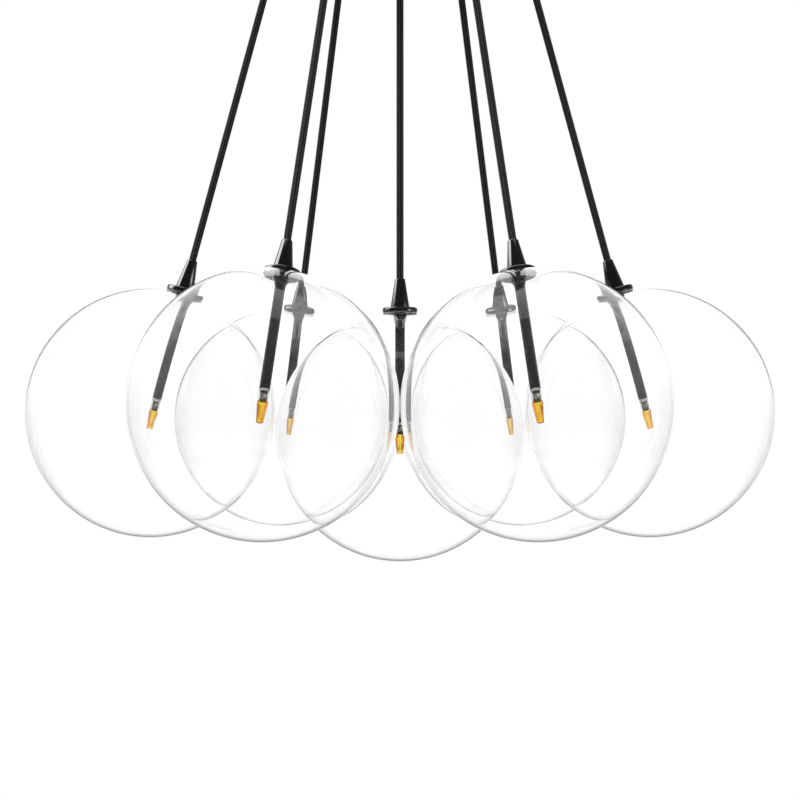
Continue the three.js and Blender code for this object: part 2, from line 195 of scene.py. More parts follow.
def mottle_group() -> bpy.types.NodeTree:
    """Makes the group that gives each finish its fine unevenness.

    Returns:
        The group: Cloud and Grain scales in, an even Mask and a fine Height out.
    """
    known = bpy.data.node_groups.get("Mottle")
    if known is not None:
        return known
    group = bpy.data.node_groups.new("Mottle", "ShaderNodeTree")
    for way, labels in (("INPUT", ("Cloud Scale", "Grain Scale")), ("OUTPUT", ("Mask", "Height"))):
        for label in labels:
            group.interface.new_socket(label, in_out=way, socket_type="NodeSocketFloat")
    wiring = Wiring(group)
    scales = wiring.node("NodeGroupInput").outputs
    place = wiring.node("ShaderNodeTexCoord").outputs["Object"]
    cloud = wiring.noise(place, scales["Cloud Scale"], 3.0)
    mask = wiring.spread({"Value": cloud, "From Min": 0.35, "From Max": 0.65})
    wiring.node("NodeGroupOutput", {"Mask": mask, "Height": wiring.noise(place, scales["Grain Scale"], 2.0)})
    return group


@dataclass(frozen=True)
class Finish:
    """A finish, which makes its material once.

    Attributes:
        name: The material's name.
    """

    name: str = "finish"

    def material(self) -> bpy.types.Material:
        """Gives the finish's material, made the first time.

        Returns:
            The material.
        """
        known = bpy.data.materials.get(self.name)
        if known is not None:
            return known
        made = bpy.data.materials.new(self.name)
        made.use_nodes = True
        wiring = Wiring(made.node_tree)
        wiring.node("ShaderNodeOutputMaterial", {"Surface": self.dress(wiring)})
        return made

    def dress(self, wiring: Wiring) -> Socket:
        """Wires the shader into the material's nodes and gives its output."""
        raise NotImplementedError


@dataclass(frozen=True)
class MottledFinish(Finish):
    """A solid finish whose colour and gloss vary a little over the surface.

    Attributes:
        dark: Colour in the darker patches.
        light: Colour in the lighter patches.
        roughness: Least and greatest roughness.
        metallic: 1 for bare metal.
        cloud: Scale of the patches, per metre.
        grain: Scale of the fine relief, per metre.
        relief: Depth of the fine relief.
        ior: Refractive index, which sets how much it mirrors.
    """

    dark: Colour = grey(0.5)
    light: Colour = grey(0.6)
    roughness: tuple[float, float] = (0.4, 0.5)
    metallic: float = 0.0
    cloud: float = 60.0
    grain: float = 900.0
    relief: float = 0.00002
    ior: float = 1.5

    def dress(self, wiring: Wiring) -> Socket:
        """Wires the mottle to colour, roughness and relief.

        Args:
            wiring: The material's nodes.

        Returns:
            The shader's output.
        """
        scales = {0: self.cloud, 1: self.grain}
        mottle = wiring.node("ShaderNodeGroup", scales, node_tree=mottle_group()).outputs
        mask, (least, most) = mottle["Mask"], self.roughness
        bump = wiring.node("ShaderNodeBump", {"Height": mottle["Height"], "Distance": self.relief})
        return wiring.shader(
            {
                "Base Color": wiring.blend(mask, self.dark, self.light),
                "Roughness": wiring.spread({"Value": mask, "To Min": least, "To Max": most}),
                "Metallic": self.metallic,
                "IOR": self.ior,
                "Normal": bump.outputs["Normal"],
            }
        )


@dataclass(frozen=True)
class BraidFinish(Finish):
    """Black braided textile: crossing yarns with lighter flecks and painted shade in the dips, on a UV map of
    turns round and metres along.

    Attributes:
        carriers: Yarn bundles in each direction.
        lay: Length along the cord of one full turn of a bundle.
        crown: How round a bundle is across, where 4 is a full half circle.
        bow: How far a bundle dips under the next, where 1 is all the way.
        fibres: Fine fibres across one bundle.
        fibre_depth: How much they show beside the bundles.
        lint: Scale of the loose fluff, per metre.
        tones: Place and level of each stop, from the painted shade in the gaps to the brightest fibres on
            top.
        roughness: How dull the yarn is.
        gloss: How much it mirrors.
        relief: Depth of its bump.
    """

    name: str = "braided_textile"
    carriers: int = 8
    lay: float = 0.0224
    crown: float = 3.9
    bow: float = 0.98
    fibres: int = 4
    fibre_depth: float = 0.3
    lint: float = 900.0
    tones: Levels = ((0.34, 0.0004), (0.55, 0.013), (0.8, 0.092))
    roughness: float = 0.6
    gloss: float = 0.08
    relief: float = 0.0003

    def dress(self, wiring: Wiring) -> Socket:
        """Wires the crossing yarns to colour, with painted shade where they dip, and to relief, two over and
        two under.

        Args:
            wiring: The material's nodes.

        Returns:
            The shader's output.
        """
        uv = wiring.node("ShaderNodeUVMap", uv_map="braid").outputs["UV"]
        parts = wiring.node("ShaderNodeSeparateXYZ", {0: uv}).outputs
        around = wiring.maths("MULTIPLY", parts[0], float(self.carriers))
        along = wiring.maths("MULTIPLY", parts[1], self.carriers / self.lay)
        ways = [wiring.maths(sign, around, along) for sign in ("ADD", "SUBTRACT")]
        steps = [wiring.maths("FLOOR", way) for way in ways]
        over = wiring.maths("LESS_THAN", self.cycle(wiring, *steps), 1.5)
        middles = [
            wiring.maths("SUBTRACT", self.cycle(wiring, way, step), middle)
            for way, step, middle in ((ways[0], steps[1], 3.0), (ways[1], steps[0], 1.0))
        ]
        arch = self.arch(wiring, wiring.choose(over, *middles), self.bow)
        height = wiring.choose(over, *(self.bundle(wiring, way) for way in reversed(ways)))
        thread = wiring.choose(over, *(self.thread(wiring, way) for way in reversed(ways)))
        lint = wiring.maths("ADD", wiring.noise(uv, self.lint, 2.0), 0.2)
        fibre = wiring.maths("MULTIPLY_ADD", thread, self.fibre_depth, lint)
        # painted shade: the yarns darken down each bundle's sides and where it dips under the next, times
        # their own flecks
        fleck_and_painted_weave_shade = wiring.maths("MULTIPLY", wiring.maths("MULTIPLY", height, arch), fibre)
        relief = wiring.maths("MULTIPLY_ADD", thread, self.fibre_depth, height)
        bump = wiring.node("ShaderNodeBump", {"Height": relief, "Strength": 0.8, "Distance": self.relief})
        return wiring.shader(
            {
                "Base Color": wiring.greys(fleck_and_painted_weave_shade, self.tones),
                "Roughness": self.roughness,
                "Specular IOR Level": self.gloss,
                "Normal": bump.outputs["Normal"],
            }
        )

    def cycle(self, wiring: Wiring, first: Socket, second: Socket) -> Socket:
        """Gives the place in the pattern's round of four, from the sum of two counts."""
        return wiring.maths("FLOORED_MODULO", wiring.maths("ADD", first, second), 4.0)

    def arch(self, wiring: Wiring, share: Socket, depth: float) -> Socket:
        """Gives a round arch over a share: 1 in its middle, less by the depth towards its ends."""
        drop = wiring.maths("MULTIPLY", wiring.maths("POWER", share, 2.0), depth)
        return wiring.maths("SQRT", wiring.maths("SUBTRACT", 1.0, drop))

    def bundle(self, wiring: Wiring, way: Socket) -> Socket:
        """Gives the rounded height across the bundles counted in one direction."""
        share = wiring.maths("SUBTRACT", wiring.maths("FRACT", way), 0.5)
        return self.arch(wiring, share, self.crown)

    def thread(self, wiring: Wiring, way: Socket) -> Socket:
        """Gives the fine fibres along a bundle, as a value from 0 to 1."""
        turns = wiring.maths("MULTIPLY", way, math.pi * self.fibres)
        return wiring.maths("ABSOLUTE", wiring.maths("SINE", turns))


@dataclass(frozen=True)
class ClearGlass(Finish):
    """Clear blown glass with painted shade: darker where it is seen edge on, standing in for the dark
    reflections at its rim.

    Attributes:
        edge: Colour of the painted shade where the glass is seen edge on.
        start: How far towards edge on the painted shade starts.
        ior: The glass's refractive index.
    """

    name: str = "clear_blown_glass"
    edge: Colour = (0.5, 0.505, 0.505, 1.0)
    start: float = 0.86
    ior: float = 1.28

    def dress(self, wiring: Wiring) -> Socket:
        """Wires the painted edge shade into a smooth glass's colour.

        Args:
            wiring: The material's nodes.

        Returns:
            The shader's output.
        """
        # painted shade: the colour darkens towards the silhouette, in place of the rim's dark reflections
        painted_rim_shade = wiring.ramp(wiring.facing(), [(0.0, grey(1.0)), (self.start, grey(1.0)), (1.0, self.edge)])
        values = {"Base Color": painted_rim_shade, "Roughness": 0.0, "IOR": self.ior, "Transmission Weight": 1.0}
        return wiring.shader(values)


@dataclass(frozen=True)
class AmberGlass(Finish):
    """Amber lens, yellow where it is looked through and orange towards its edges.

    Attributes:
        tones: Place and colour of each stop, from straight through to the edge.
        streaks: Scale of its cloudy streaks, per metre.
        cloudiness: How much they shift its colour.
        roughness: How dull its surface is.
        ior: Its refractive index.
        clearness: How much of the light passes through.
    """

    name: str = "amber_lamp_glass"
    tones: tuple[tuple[float, Colour], ...] = (
        (0.02, rgb(1.0, 0.78, 0.11)),
        (0.12, rgb(0.98, 0.58, 0.05)),
        (0.3, rgb(0.88, 0.28, 0.02)),
    )
    streaks: float = 260.0
    cloudiness: float = 0.5
    roughness: float = 0.05
    ior: float = 1.25
    clearness: float = 0.93

    def dress(self, wiring: Wiring) -> Socket:
        """Wires the amber's depth to a slightly cloudy glass.

        Args:
            wiring: The material's nodes.

        Returns:
            The shader's output.
        """
        place = wiring.node("ShaderNodeTexCoord").outputs["Object"]
        streak = wiring.maths("SUBTRACT", wiring.noise(place, self.streaks, 1.0), 0.5)
        depth = wiring.maths("MULTIPLY_ADD", streak, self.cloudiness, wiring.facing())
        return wiring.shader(
            {
                "Base Color": wiring.ramp(depth, self.tones),
                "Roughness": self.roughness,
                "IOR": self.ior,
                "Transmission Weight": self.clearness,
            }
        )


class Finishes:
    """All the finishes of the chandelier, by what they cover."""

    # both clear glasses carry painted shade that darkens them edge on, the collar's darker and from further
    # in
    glass = ClearGlass()
    collar_glass = ClearGlass(name="clear_lamp_glass", edge=rgb(0.12, 0.12, 0.11), start=0.35, ior=1.35)
    amber = AmberGlass()
    braid = BraidFinish()
    enamel = MottledFinish(
        "black_enamel", grey(0.003), grey(0.006), (0.11, 0.15), 0.0, 45.0, 1400.0, relief=0.000001, ior=1.8
    )
    satin = MottledFinish(
        "black_satin", grey(0.004), grey(0.008), (0.12, 0.17), 0.0, 45.0, 1400.0, relief=0.000001, ior=1.6
    )
    ceramic = MottledFinish(
        "pale_ceramic", rgb(0.55, 0.53, 0.47), rgb(0.66, 0.64, 0.58), (0.5, 0.62), cloud=300.0, grain=2600.0
    )
    board = MottledFinish(
        "lamp_board", rgb(0.72, 0.7, 0.58), rgb(0.88, 0.86, 0.74), (0.4, 0.5), cloud=700.0, grain=3000.0
    )
    wick = MottledFinish(
        "lamp_filament", rgb(0.96, 0.62, 0.16), rgb(0.98, 0.76, 0.26), (0.4, 0.5), cloud=900.0, grain=3000.0
    )
    # the dark finish of leads, chips and screws, also the painted shade round the holder's pins and in screw
    # slots
    dark_lead_and_shade = MottledFinish("dark_lead_and_painted_shade", grey(0.01), grey(0.03), (0.4, 0.5), cloud=400.0, grain=3000.0)
    tin = MottledFinish("tinned_pin", grey(0.5), grey(0.62), (0.25, 0.35), 1.0, cloud=500.0, grain=3000.0)
    silicone = MottledFinish("silicone_washer", grey(0.5), grey(0.58), (0.55, 0.65), 0.0, 300.0, 2000.0)
    zinc = MottledFinish("zinc_plate", grey(0.34), grey(0.5), (0.35, 0.52), 1.0, cloud=70.0, grain=700.0)
    driver = MottledFinish("driver_moulding", grey(0.62), grey(0.68), (0.45, 0.55), cloud=50.0, grain=1800.0)
    terminal = MottledFinish("terminal_moulding", grey(0.66), grey(0.74), (0.35, 0.45), 0.0, 80.0, 1800.0)
    brass = MottledFinish("brass_screw", rgb(0.55, 0.36, 0.12), rgb(0.72, 0.5, 0.2), (0.3, 0.4), 1.0, 300.0)
    live = MottledFinish("brown_sleeve", rgb(0.1, 0.035, 0.012), rgb(0.13, 0.05, 0.02), cloud=200.0)
    neutral = MottledFinish("blue_sleeve", rgb(0.02, 0.08, 0.26), rgb(0.03, 0.1, 0.3), cloud=200.0)


class Shape:
    """A mesh being made, in metres, in the frame of whatever it belongs to."""

    def __init__(self) -> None:
        """Starts with an empty mesh."""
        self.bm = bmesh.new()

    @classmethod
    def turned(cls, outline: Outline, sides: int, closed: bool = False) -> Shape:
        """Turns an outline about Z.

        Args:
            outline: Each corner's radius and height, and a rounded one's width of rounding and its steps.
            sides: Steps in the full turn.
            closed: Whether the outline joins its own start, as a ring's does.

        Returns:
            The turned shape.
        """
        made = cls()
        bm = made.bm
        points = [bm.verts.new((corner[0], 0.0, corner[1])) for corner in outline]
        for start, end in zip(points, points[1:] + points[:1] if closed else points[1:]):
            bm.edges.new((start, end))
        for point, corner in zip(points, outline):
            if len(corner) > 2:
                made.rounded([point], "VERTICES", *corner[2:])
        whole, centre, axis = bm.verts[:] + bm.edges[:], (0.0, 0.0, 0.0), (0.0, 0.0, 1.0)
        bmesh.ops.spin(bm, geom=whole, cent=centre, axis=axis, angle=TURN, steps=sides, use_merge=True)
        return made.welded()

    @classmethod
    def block(cls, size: Sequence[float], centre: Sequence[float], bevel: float) -> Shape:
        """Makes a block with rounded edges.

        Args:
            size: Its length along each axis.
            centre: Its middle.
            bevel: Width of the rounding.

        Returns:
            The block.
        """
        made = cls()
        bm = made.bm
        bmesh.ops.create_cube(bm, size=1.0)
        bmesh.ops.scale(bm, vec=size, verts=bm.verts[:])
        bmesh.ops.translate(bm, vec=centre, verts=bm.verts[:])
        return made.rounded(bm.edges[:], "EDGES", bevel, 2)

    @classmethod
    def tube(cls, route: Sequence[Sequence[float]], radius: float, sides: int) -> Shape:
        """Makes a round wire along a route.

        Args:
            route: The points that it follows.
            radius: The wire's radius.
            sides: Sides of its section.

        Returns:
            The wire, closed at both ends.
        """
        made = cls()
        points = [Vector(point) for point in route]
        way = (points[1] - points[0]).normalized()
        turn = way.to_track_quat("Z", "X").to_matrix().to_4x4()
        ring = made.ring(radius, sides, Matrix.Translation(points[0]) @ turn)
        for before, point, after in zip(points, points[1:], points[2:] + [2 * points[-1] - points[-2]]):
            ring = made.extruded(ring, point - before)
            ahead = ((point - before).normalized() + (after - point).normalized()).normalized()
            around = {corner for edge in ring for corner in edge.verts}
            bend = way.rotation_difference(ahead).to_matrix()
            bmesh.ops.rotate(made.bm, cent=point, matrix=bend, verts=list(around))
            way = ahead
        return made.capped()

    def ring(self, radius: float, sides: int, place: Matrix) -> list[bmesh.types.BMEdge]:
        """Adds an open circle.

        Args:
            radius: Its radius.
            sides: Its number of edges.
            place: Where it lies.

        Returns:
            Its edges.
        """
        made = bmesh.ops.create_circle(self.bm, cap_ends=False, radius=radius, segments=sides, matrix=place)
        return list({edge for point in made["verts"] for edge in point.link_edges})

    def extruded(self, ring: list[bmesh.types.BMEdge], step: Vector) -> list[bmesh.types.BMEdge]:
        """Grows a tube by one step.

        Args:
            ring: The edges at its open end.
            step: How far the end moves.

        Returns:
            The edges at the new end.
        """
        grown = bmesh.ops.extrude_edge_only(self.bm, edges=ring)["geom"]
        points = [item for item in grown if isinstance(item, bmesh.types.BMVert)]
        bmesh.ops.translate(self.bm, vec=step, verts=points)
        return [item for item in grown if isinstance(item, bmesh.types.BMEdge) and item.is_boundary]

    def rounded(self, geometry: list, affect: str, width: float, steps: int) -> Shape:
        """Rounds points or edges.

        Args:
            geometry: The points or edges.
            affect: Which of the two they are.
            width: Width of the rounding.
            steps: Segments in it.

        Returns:
            This shape.
        """
        bmesh.ops.bevel(
            self.bm, geom=geometry, offset=width, segments=steps, profile=0.5, affect=affect, material=-1
        )
        return self

    def faced(self) -> Shape:
        """Turns every face outwards and gives the shape back."""
        bmesh.ops.recalc_face_normals(self.bm, faces=self.bm.faces[:])
        return self

    def capped(self) -> Shape:
        """Closes every open end and gives the shape back."""
        bmesh.ops.holes_fill(self.bm, edges=[edge for edge in self.bm.edges if edge.is_boundary], sides=0)
        return self.faced()

    def welded(self) -> Shape:
        """Merges doubled points and gives the shape back."""
        bmesh.ops.remove_doubles(self.bm, verts=self.bm.verts[:], dist=WELD)
        return self.faced()

    def cut(self, place: Place, way: Place) -> Shape:
        """Cuts away what lies beyond a plane.

        Args:
            place: A point of the plane.
            way: The direction out of the plane that is cut away.

        Returns:
            This shape.
        """
        whole = self.bm.verts[:] + self.bm.edges[:] + self.bm.faces[:]
        bmesh.ops.bisect_plane(self.bm, geom=whole, plane_co=place, plane_no=way, clear_outer=True)
        return self

    def moved(self, place: Matrix) -> Shape:
        """Moves the shape to a place and gives it back."""
        bmesh.ops.transform(self.bm, matrix=place, verts=self.bm.verts[:])
        return self

    def shifted(self, x: float, y: float, z: float) -> Shape:
        """Shifts the shape and gives it back."""
        return self.moved(Matrix.Translation((x, y, z)))

    def painted(self, index: int) -> Shape:
        """Gives all its faces one of the piece's materials.

        Args:
            index: The material's place in the piece's list.

        Returns:
            This shape.
        """
        for face in self.bm.faces:
            face.material_index = index
        return self

    def joined(self, *others: Shape) -> Shape:
        """Takes other shapes in.

        Args:
            *others: Shapes in the same frame, which end here.

        Returns:
            This shape.
        """
        for other in others:
            carrier = bpy.data.meshes.new("carrier")
            other.bm.to_mesh(carrier)
            other.bm.free()
            self.bm.from_mesh(carrier)
            bpy.data.meshes.remove(carrier)
        return self

    def stamp(self) -> Stamp:
        """Ends the making, so that pieces can be made from the shape.

        Returns:
            The finished mesh.
        """
        mesh = bpy.data.meshes.new("stamp")
        self.bm.to_mesh(mesh)
        self.bm.free()
        return Stamp(mesh)


@dataclass(frozen=True)
class Stamp:
    """A finished mesh, of which pieces are made wherever they are needed.

    Attributes:
        mesh: The mesh in its own frame.
    """

    mesh: bpy.types.Mesh

    def piece(self, label: Label, place: Matrix, *finishes: Finish) -> bpy.types.Object:
        """Makes a piece, at the origin with its place in its mesh.

        Args:
            label: Its name, body, slot and the solids that it stands for.
            place: Where the mesh's own frame lies.
            *finishes: Its finishes, in the order of its faces' numbers.

        Returns:
            The piece.
        """
        mesh = self.mesh.copy()
        mesh.name = label.name
        mesh.transform(place)
        mesh.shade_smooth()
        mesh.set_sharp_from_angle(angle=math.radians(label.crease))
        for finish in finishes:
            mesh.materials.append(finish.material())
        made = bpy.data.objects.new(label.name, mesh)
        bpy.context.scene.collection.objects.link(made)
        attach(made, label.body)
        if label.replaces:
            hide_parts(*label.replaces)
        LOG.info("%s rides on %s", label.name, label.body)
        return made


@dataclass(frozen=True)
class Label:
    """What a piece is called and what it belongs to.

    Attributes:
        name: The piece's name.
        body: The moving body that carries it.
        slot: The record's material slot, which is not used.
        replaces: Solids that it stands for.
        crease: Angle in degrees past which an edge stays sharp.
    """

    name: str
    body: str
    slot: Slot
    replaces: tuple[str, ...]
    crease: float


@dataclass(frozen=True)
class Hanger:
    """Where one pendant hangs.

    Attributes:
        name: The pendant's name.
        swivel: The point in the grip's mouth that the cord swings about.
        up: Direction up along the cord.
        hang: Length from the swivel to the globe's centre.
        route: Places down the cord from its swivel.
        carrier: The body that the cord belongs to.
    """

    name: str
    swivel: Vector
    up: Vector
    hang: float
    route: tuple[float, ...]
    carrier: str

    @property
    def turn(self) -> Matrix:
        """Turns Z to the cord's direction, as the solids are turned."""
        return Vector((0.0, 0.0, 1.0)).rotation_difference(self.up).to_matrix().to_4x4()

    @property
    def top(self) -> Matrix:
        """The cord's own frame, at its swivel."""
        return Matrix.Translation(self.swivel) @ self.turn

    @property
    def globe(self) -> Matrix:
        """The head's own frame, at the globe's centre."""
        return Matrix.Translation(self.swivel - self.up * self.hang) @ self.turn

    def dress(
        self, stamp: Stamp, piece: str, solid: str, slot: Slot, crease: float, *finishes: Finish
    ) -> None:
        """Makes one piece of the head or of its lamp.

        Args:
            stamp: The piece's mesh, in the head's frame.
            piece: Its name, to which the pendant's is added.
            solid: The solid that it stands for, named likewise, or nothing.
            slot: The record's material slot. What wears the lamp's slot moves with the lamp.
            crease: Angle in degrees past which an edge stays sharp.
            *finishes: Its finishes, in the order of its faces' numbers.
        """
        body = "bulb" if slot is Slot.LAMP else "head"
        solids = (f"{solid}_{self.name}",) if solid else ()
        label = Label(f"{piece}_{self.name}", f"{body}_{self.name}", slot, solids, crease)
        stamp.piece(label, self.globe, *finishes)


@dataclass(frozen=True)
class Cluster:
    """How the seven pendants are set out.

    Attributes:
        ring_names: The ring's pendants, from the right and round by the back.
        ring_drop: From the ceiling to the ring globes' centres.
        center_drop: How much lower the middle globe's centre is.
        lean: How far a ring cord leans from upright, in degrees.
        swing: How much further it can swing, in degrees.
        globe_diameter: A globe's outside.
        globe_gap: Between neighbouring globes.
        cord_diameter: A cord's outside.
        canopy_depth: The canopy's height.
        grip_length: How far a cord grip stands out under it.
        canopy_margin: From the ring of grips to the canopy's outside.
        clearance: Between pieces that seat on or in each other.
        ring_route: Places down a ring cord.
        center_route: Places down the middle cord.
    """

    ring_names: tuple[str, ...] = ("right", "back_right", "back_left", "left", "front_left", "front_right")
    ring_drop: float = 0.490
    center_drop: float = 0.024
    lean: float = 15.0
    swing: float = 25.0
    globe_diameter: float = 0.250
    globe_gap: float = 0.0005
    cord_diameter: float = 0.007
    canopy_depth: float = 0.028
    grip_length: float = 0.008
    canopy_margin: float = 0.0175
    clearance: float = 0.0003
    ring_route: tuple[float, ...] = (
        0.0, -0.010, -0.022, -0.040, -0.062, -0.086, -0.110, -0.134,
        -0.158, -0.182, -0.206, -0.230, -0.254, -0.278, -0.298, -0.3165,
    )
    center_route: tuple[float, ...] = (
        0.0, -0.010, -0.022, -0.042, -0.064, -0.088, -0.112, -0.136,
        -0.160, -0.186, -0.212, -0.238, -0.262, -0.286, -0.306, -0.3246,
    )

    @property
    def swivel_z(self) -> float:
        """Height of the cords' swivels."""
        below = self.cord_diameter / 2 * math.sin(math.radians(self.lean + self.swing)) + self.clearance
        return -(self.canopy_depth + self.grip_length + below)

    @property
    def swivel_ring(self) -> float:
        """Radius of the ring of grips."""
        reach = (self.ring_drop + self.swivel_z) * math.tan(math.radians(self.lean))
        return self.globe_diameter + self.globe_gap - reach

    @property
    def canopy_radius(self) -> float:
        """The canopy's outside radius."""
        return self.swivel_ring + self.canopy_margin

    def grip_places(self) -> dict[str, Vector]:
        """Gives the place of each pendant's grip, across the canopy.

        Returns:
            The places by the pendants' names, the middle one first.
        """
        places = {"center": Vector((0.0, 0.0, 0.0))}
        for index, name in enumerate(self.ring_names):
            angle = TURN * index / len(self.ring_names)
            places[name] = Vector((math.cos(angle), math.sin(angle), 0.0)) * self.swivel_ring
        return places

    def hangers(self) -> list[Hanger]:
        """Gives every pendant's place, the middle one first.

        Returns:
            The seven hangers.
        """
        lean = math.radians(self.lean)
        height = Vector((0.0, 0.0, self.swivel_z))
        made = []
        for name, place in self.grip_places().items():
            if name == "center":
                hang = self.ring_drop + self.center_drop + self.swivel_z
                made.append(Hanger(name, height, Vector((0.0, 0.0, 1.0)), hang, self.center_route, "canopy"))
                continue
            up = Vector((0.0, 0.0, math.cos(lean))) - place.normalized() * math.sin(lean)
            hang = (self.ring_drop + self.swivel_z) / math.cos(lean)
            made.append(Hanger(name, place + height, up, hang, self.ring_route, f"hanger_{name}"))
        return made


@dataclass(frozen=True)
class BraidedCord:
    """A black braided cord, pulled straight by its globe.

    Attributes:
        diameter: Over the braid.
        end_diameter: Its round top end, which turns in the grip's mouth.
        loft: How far the soft yarns stand proud of the solid cord.
        relief: Depth between the yarns.
        sides: Points round it.
        step: Distance between its rings.
        finish: The braid.
    """

    diameter: float = 0.007
    end_diameter: float = 0.0068
    loft: float = 0.00015
    relief: float = 0.00016
    sides: int = 32
    step: float = 0.00055
    finish: BraidFinish = Finishes.braid

    def build(self, hanger: Hanger) -> None:
        """Makes one cord.

        Args:
            hanger: Where it hangs.
        """
        length = -hanger.route[-1]
        label = Label(f"braid_{hanger.name}", hanger.carrier, Slot.BRAID, (f"cord_{hanger.name}",), 70.0)
        made = self.shape(length).piece(label, hanger.top, self.finish)
        path = [hanger.top @ Vector((0.0, 0.0, z)) for z in hanger.route]

    @cache
    def shape(self, length: float) -> Stamp:
        """Makes the braided tube, upright with its swivel at the origin.

        Args:
            length: From the swivel to its lower end.

        Returns:
            The cord's mesh.
        """
        top = self.end_diameter / 2
        shape = Shape()
        bm = shape.bm
        rings = round((length + top) / self.step)
        bmesh.ops.create_grid(bm, x_segments=self.sides, y_segments=rings, size=0.5)
        layer = bm.loops.layers.uv.new("braid")
        for point in bm.verts:
            point.co = (point.co.x + 0.5, 0.0, top - (point.co.y + 0.5) * (length + top))
        for face in bm.faces:
            for loop in face.loops:
                loop[layer].uv = (loop.vert.co.x, loop.vert.co.z)
        for point in bm.verts:
            self.wrap(point)
        return shape.welded().capped().stamp()

    def wrap(self, point: bmesh.types.BMVert) -> None:
        """Moves a point of the flat braid, at its turns and height, to its place round the cord.

        Args:
            point: The point.
        """
        turn, height = point.co.x, point.co.z
        around = turn * self.finish.carriers
        along = height * self.finish.carriers / self.finish.lay
        ways = (around + along, around - along)
        over = (math.floor(ways[0]) + math.floor(ways[1])) % 4 < 2
        share = ways[0 if over else 1] % 1.0 - 0.5
        crown = math.sqrt(1 - self.finish.crown * share * share) - 1.0
        radius = self.diameter / 2 + self.loft + self.relief * crown
        if height > 0.0:
            cap = math.sqrt(max((self.end_diameter / 2) ** 2 - height ** 2, 0.0))
            radius = min(radius, cap + self.relief)
        point.co = (radius * math.cos(turn * TURN), radius * math.sin(turn * TURN), height)


@dataclass(frozen=True)
class Head:
    """Heights that the pieces of one head share, along its own axis from the globe's centre.

    Attributes:
        globe_diameter: The globe's outside.
        wall: The glass's thickness.
        hole_diameter: The hole at the globe's top.
        clearance: Between pieces that seat on each other.
        flange_thickness: The flange's height.
        stem_diameter: The stem's outside.
        stem_end: The stem's lower end.
        stem_in_cap: How far the stem goes up into the cap.
        cord_diameter: The cord's outside.
    """

    globe_diameter: float = 0.250
    wall: float = 0.0012
    hole_diameter: float = 0.014
    clearance: float = 0.0003
    flange_thickness: float = 0.005
    stem_diameter: float = 0.010
    stem_end: float = 0.015
    stem_in_cap: float = 0.020
    cord_diameter: float = 0.007

    def skin(self, radius: float) -> float:
        """Height of the globe's outside at that distance from its axis."""
        return math.sqrt((self.globe_diameter / 2) ** 2 - radius ** 2)

    @property
    def hole_rim(self) -> float:
        """Height of the rim of the glass's hole."""
        return self.skin(self.hole_diameter / 2)

    @property
    def flange(self) -> float:
        """Height of the flange's underside."""
        return self.hole_rim + self.clearance

    @property
    def cap(self) -> float:
        """Height of the cap's base."""
        return self.flange + self.flange_thickness + self.clearance

    @property
    def stem_top(self) -> float:
        """Height of the stem's top."""
        return self.cap + self.stem_in_cap


@dataclass(frozen=True)
class Globe:
    """A clear blown glass globe with one hole at its top.

    Attributes:
        head: The heights that it shares.
        sides: Meridians.
        rings: Steps from pole to pole.
    """

    head: Head = Head()
    sides: int = 144
    rings: int = 96

    def build(self, hanger: Hanger) -> None:
        """Makes one globe where the pendant hangs."""
        hanger.dress(self.shape(), "glass", "globe", Slot.GLASS, 60.0, Finishes.glass)

    @cache
    def shape(self) -> Stamp:
        """Makes the glass: a sphere, opened at the top and given its wall.

        Returns:
            The glass's mesh.
        """
        head, shape = self.head, Shape()
        radius = head.globe_diameter / 2
        bmesh.ops.create_uvsphere(shape.bm, u_segments=self.sides, v_segments=self.rings, radius=radius)
        shape.cut((0.0, 0.0, head.hole_rim), (0.0, 0.0, 1.0)).faced()
        bmesh.ops.solidify(shape.bm, geom=shape.bm.faces[:], thickness=head.wall)
        return shape.faced().stamp()


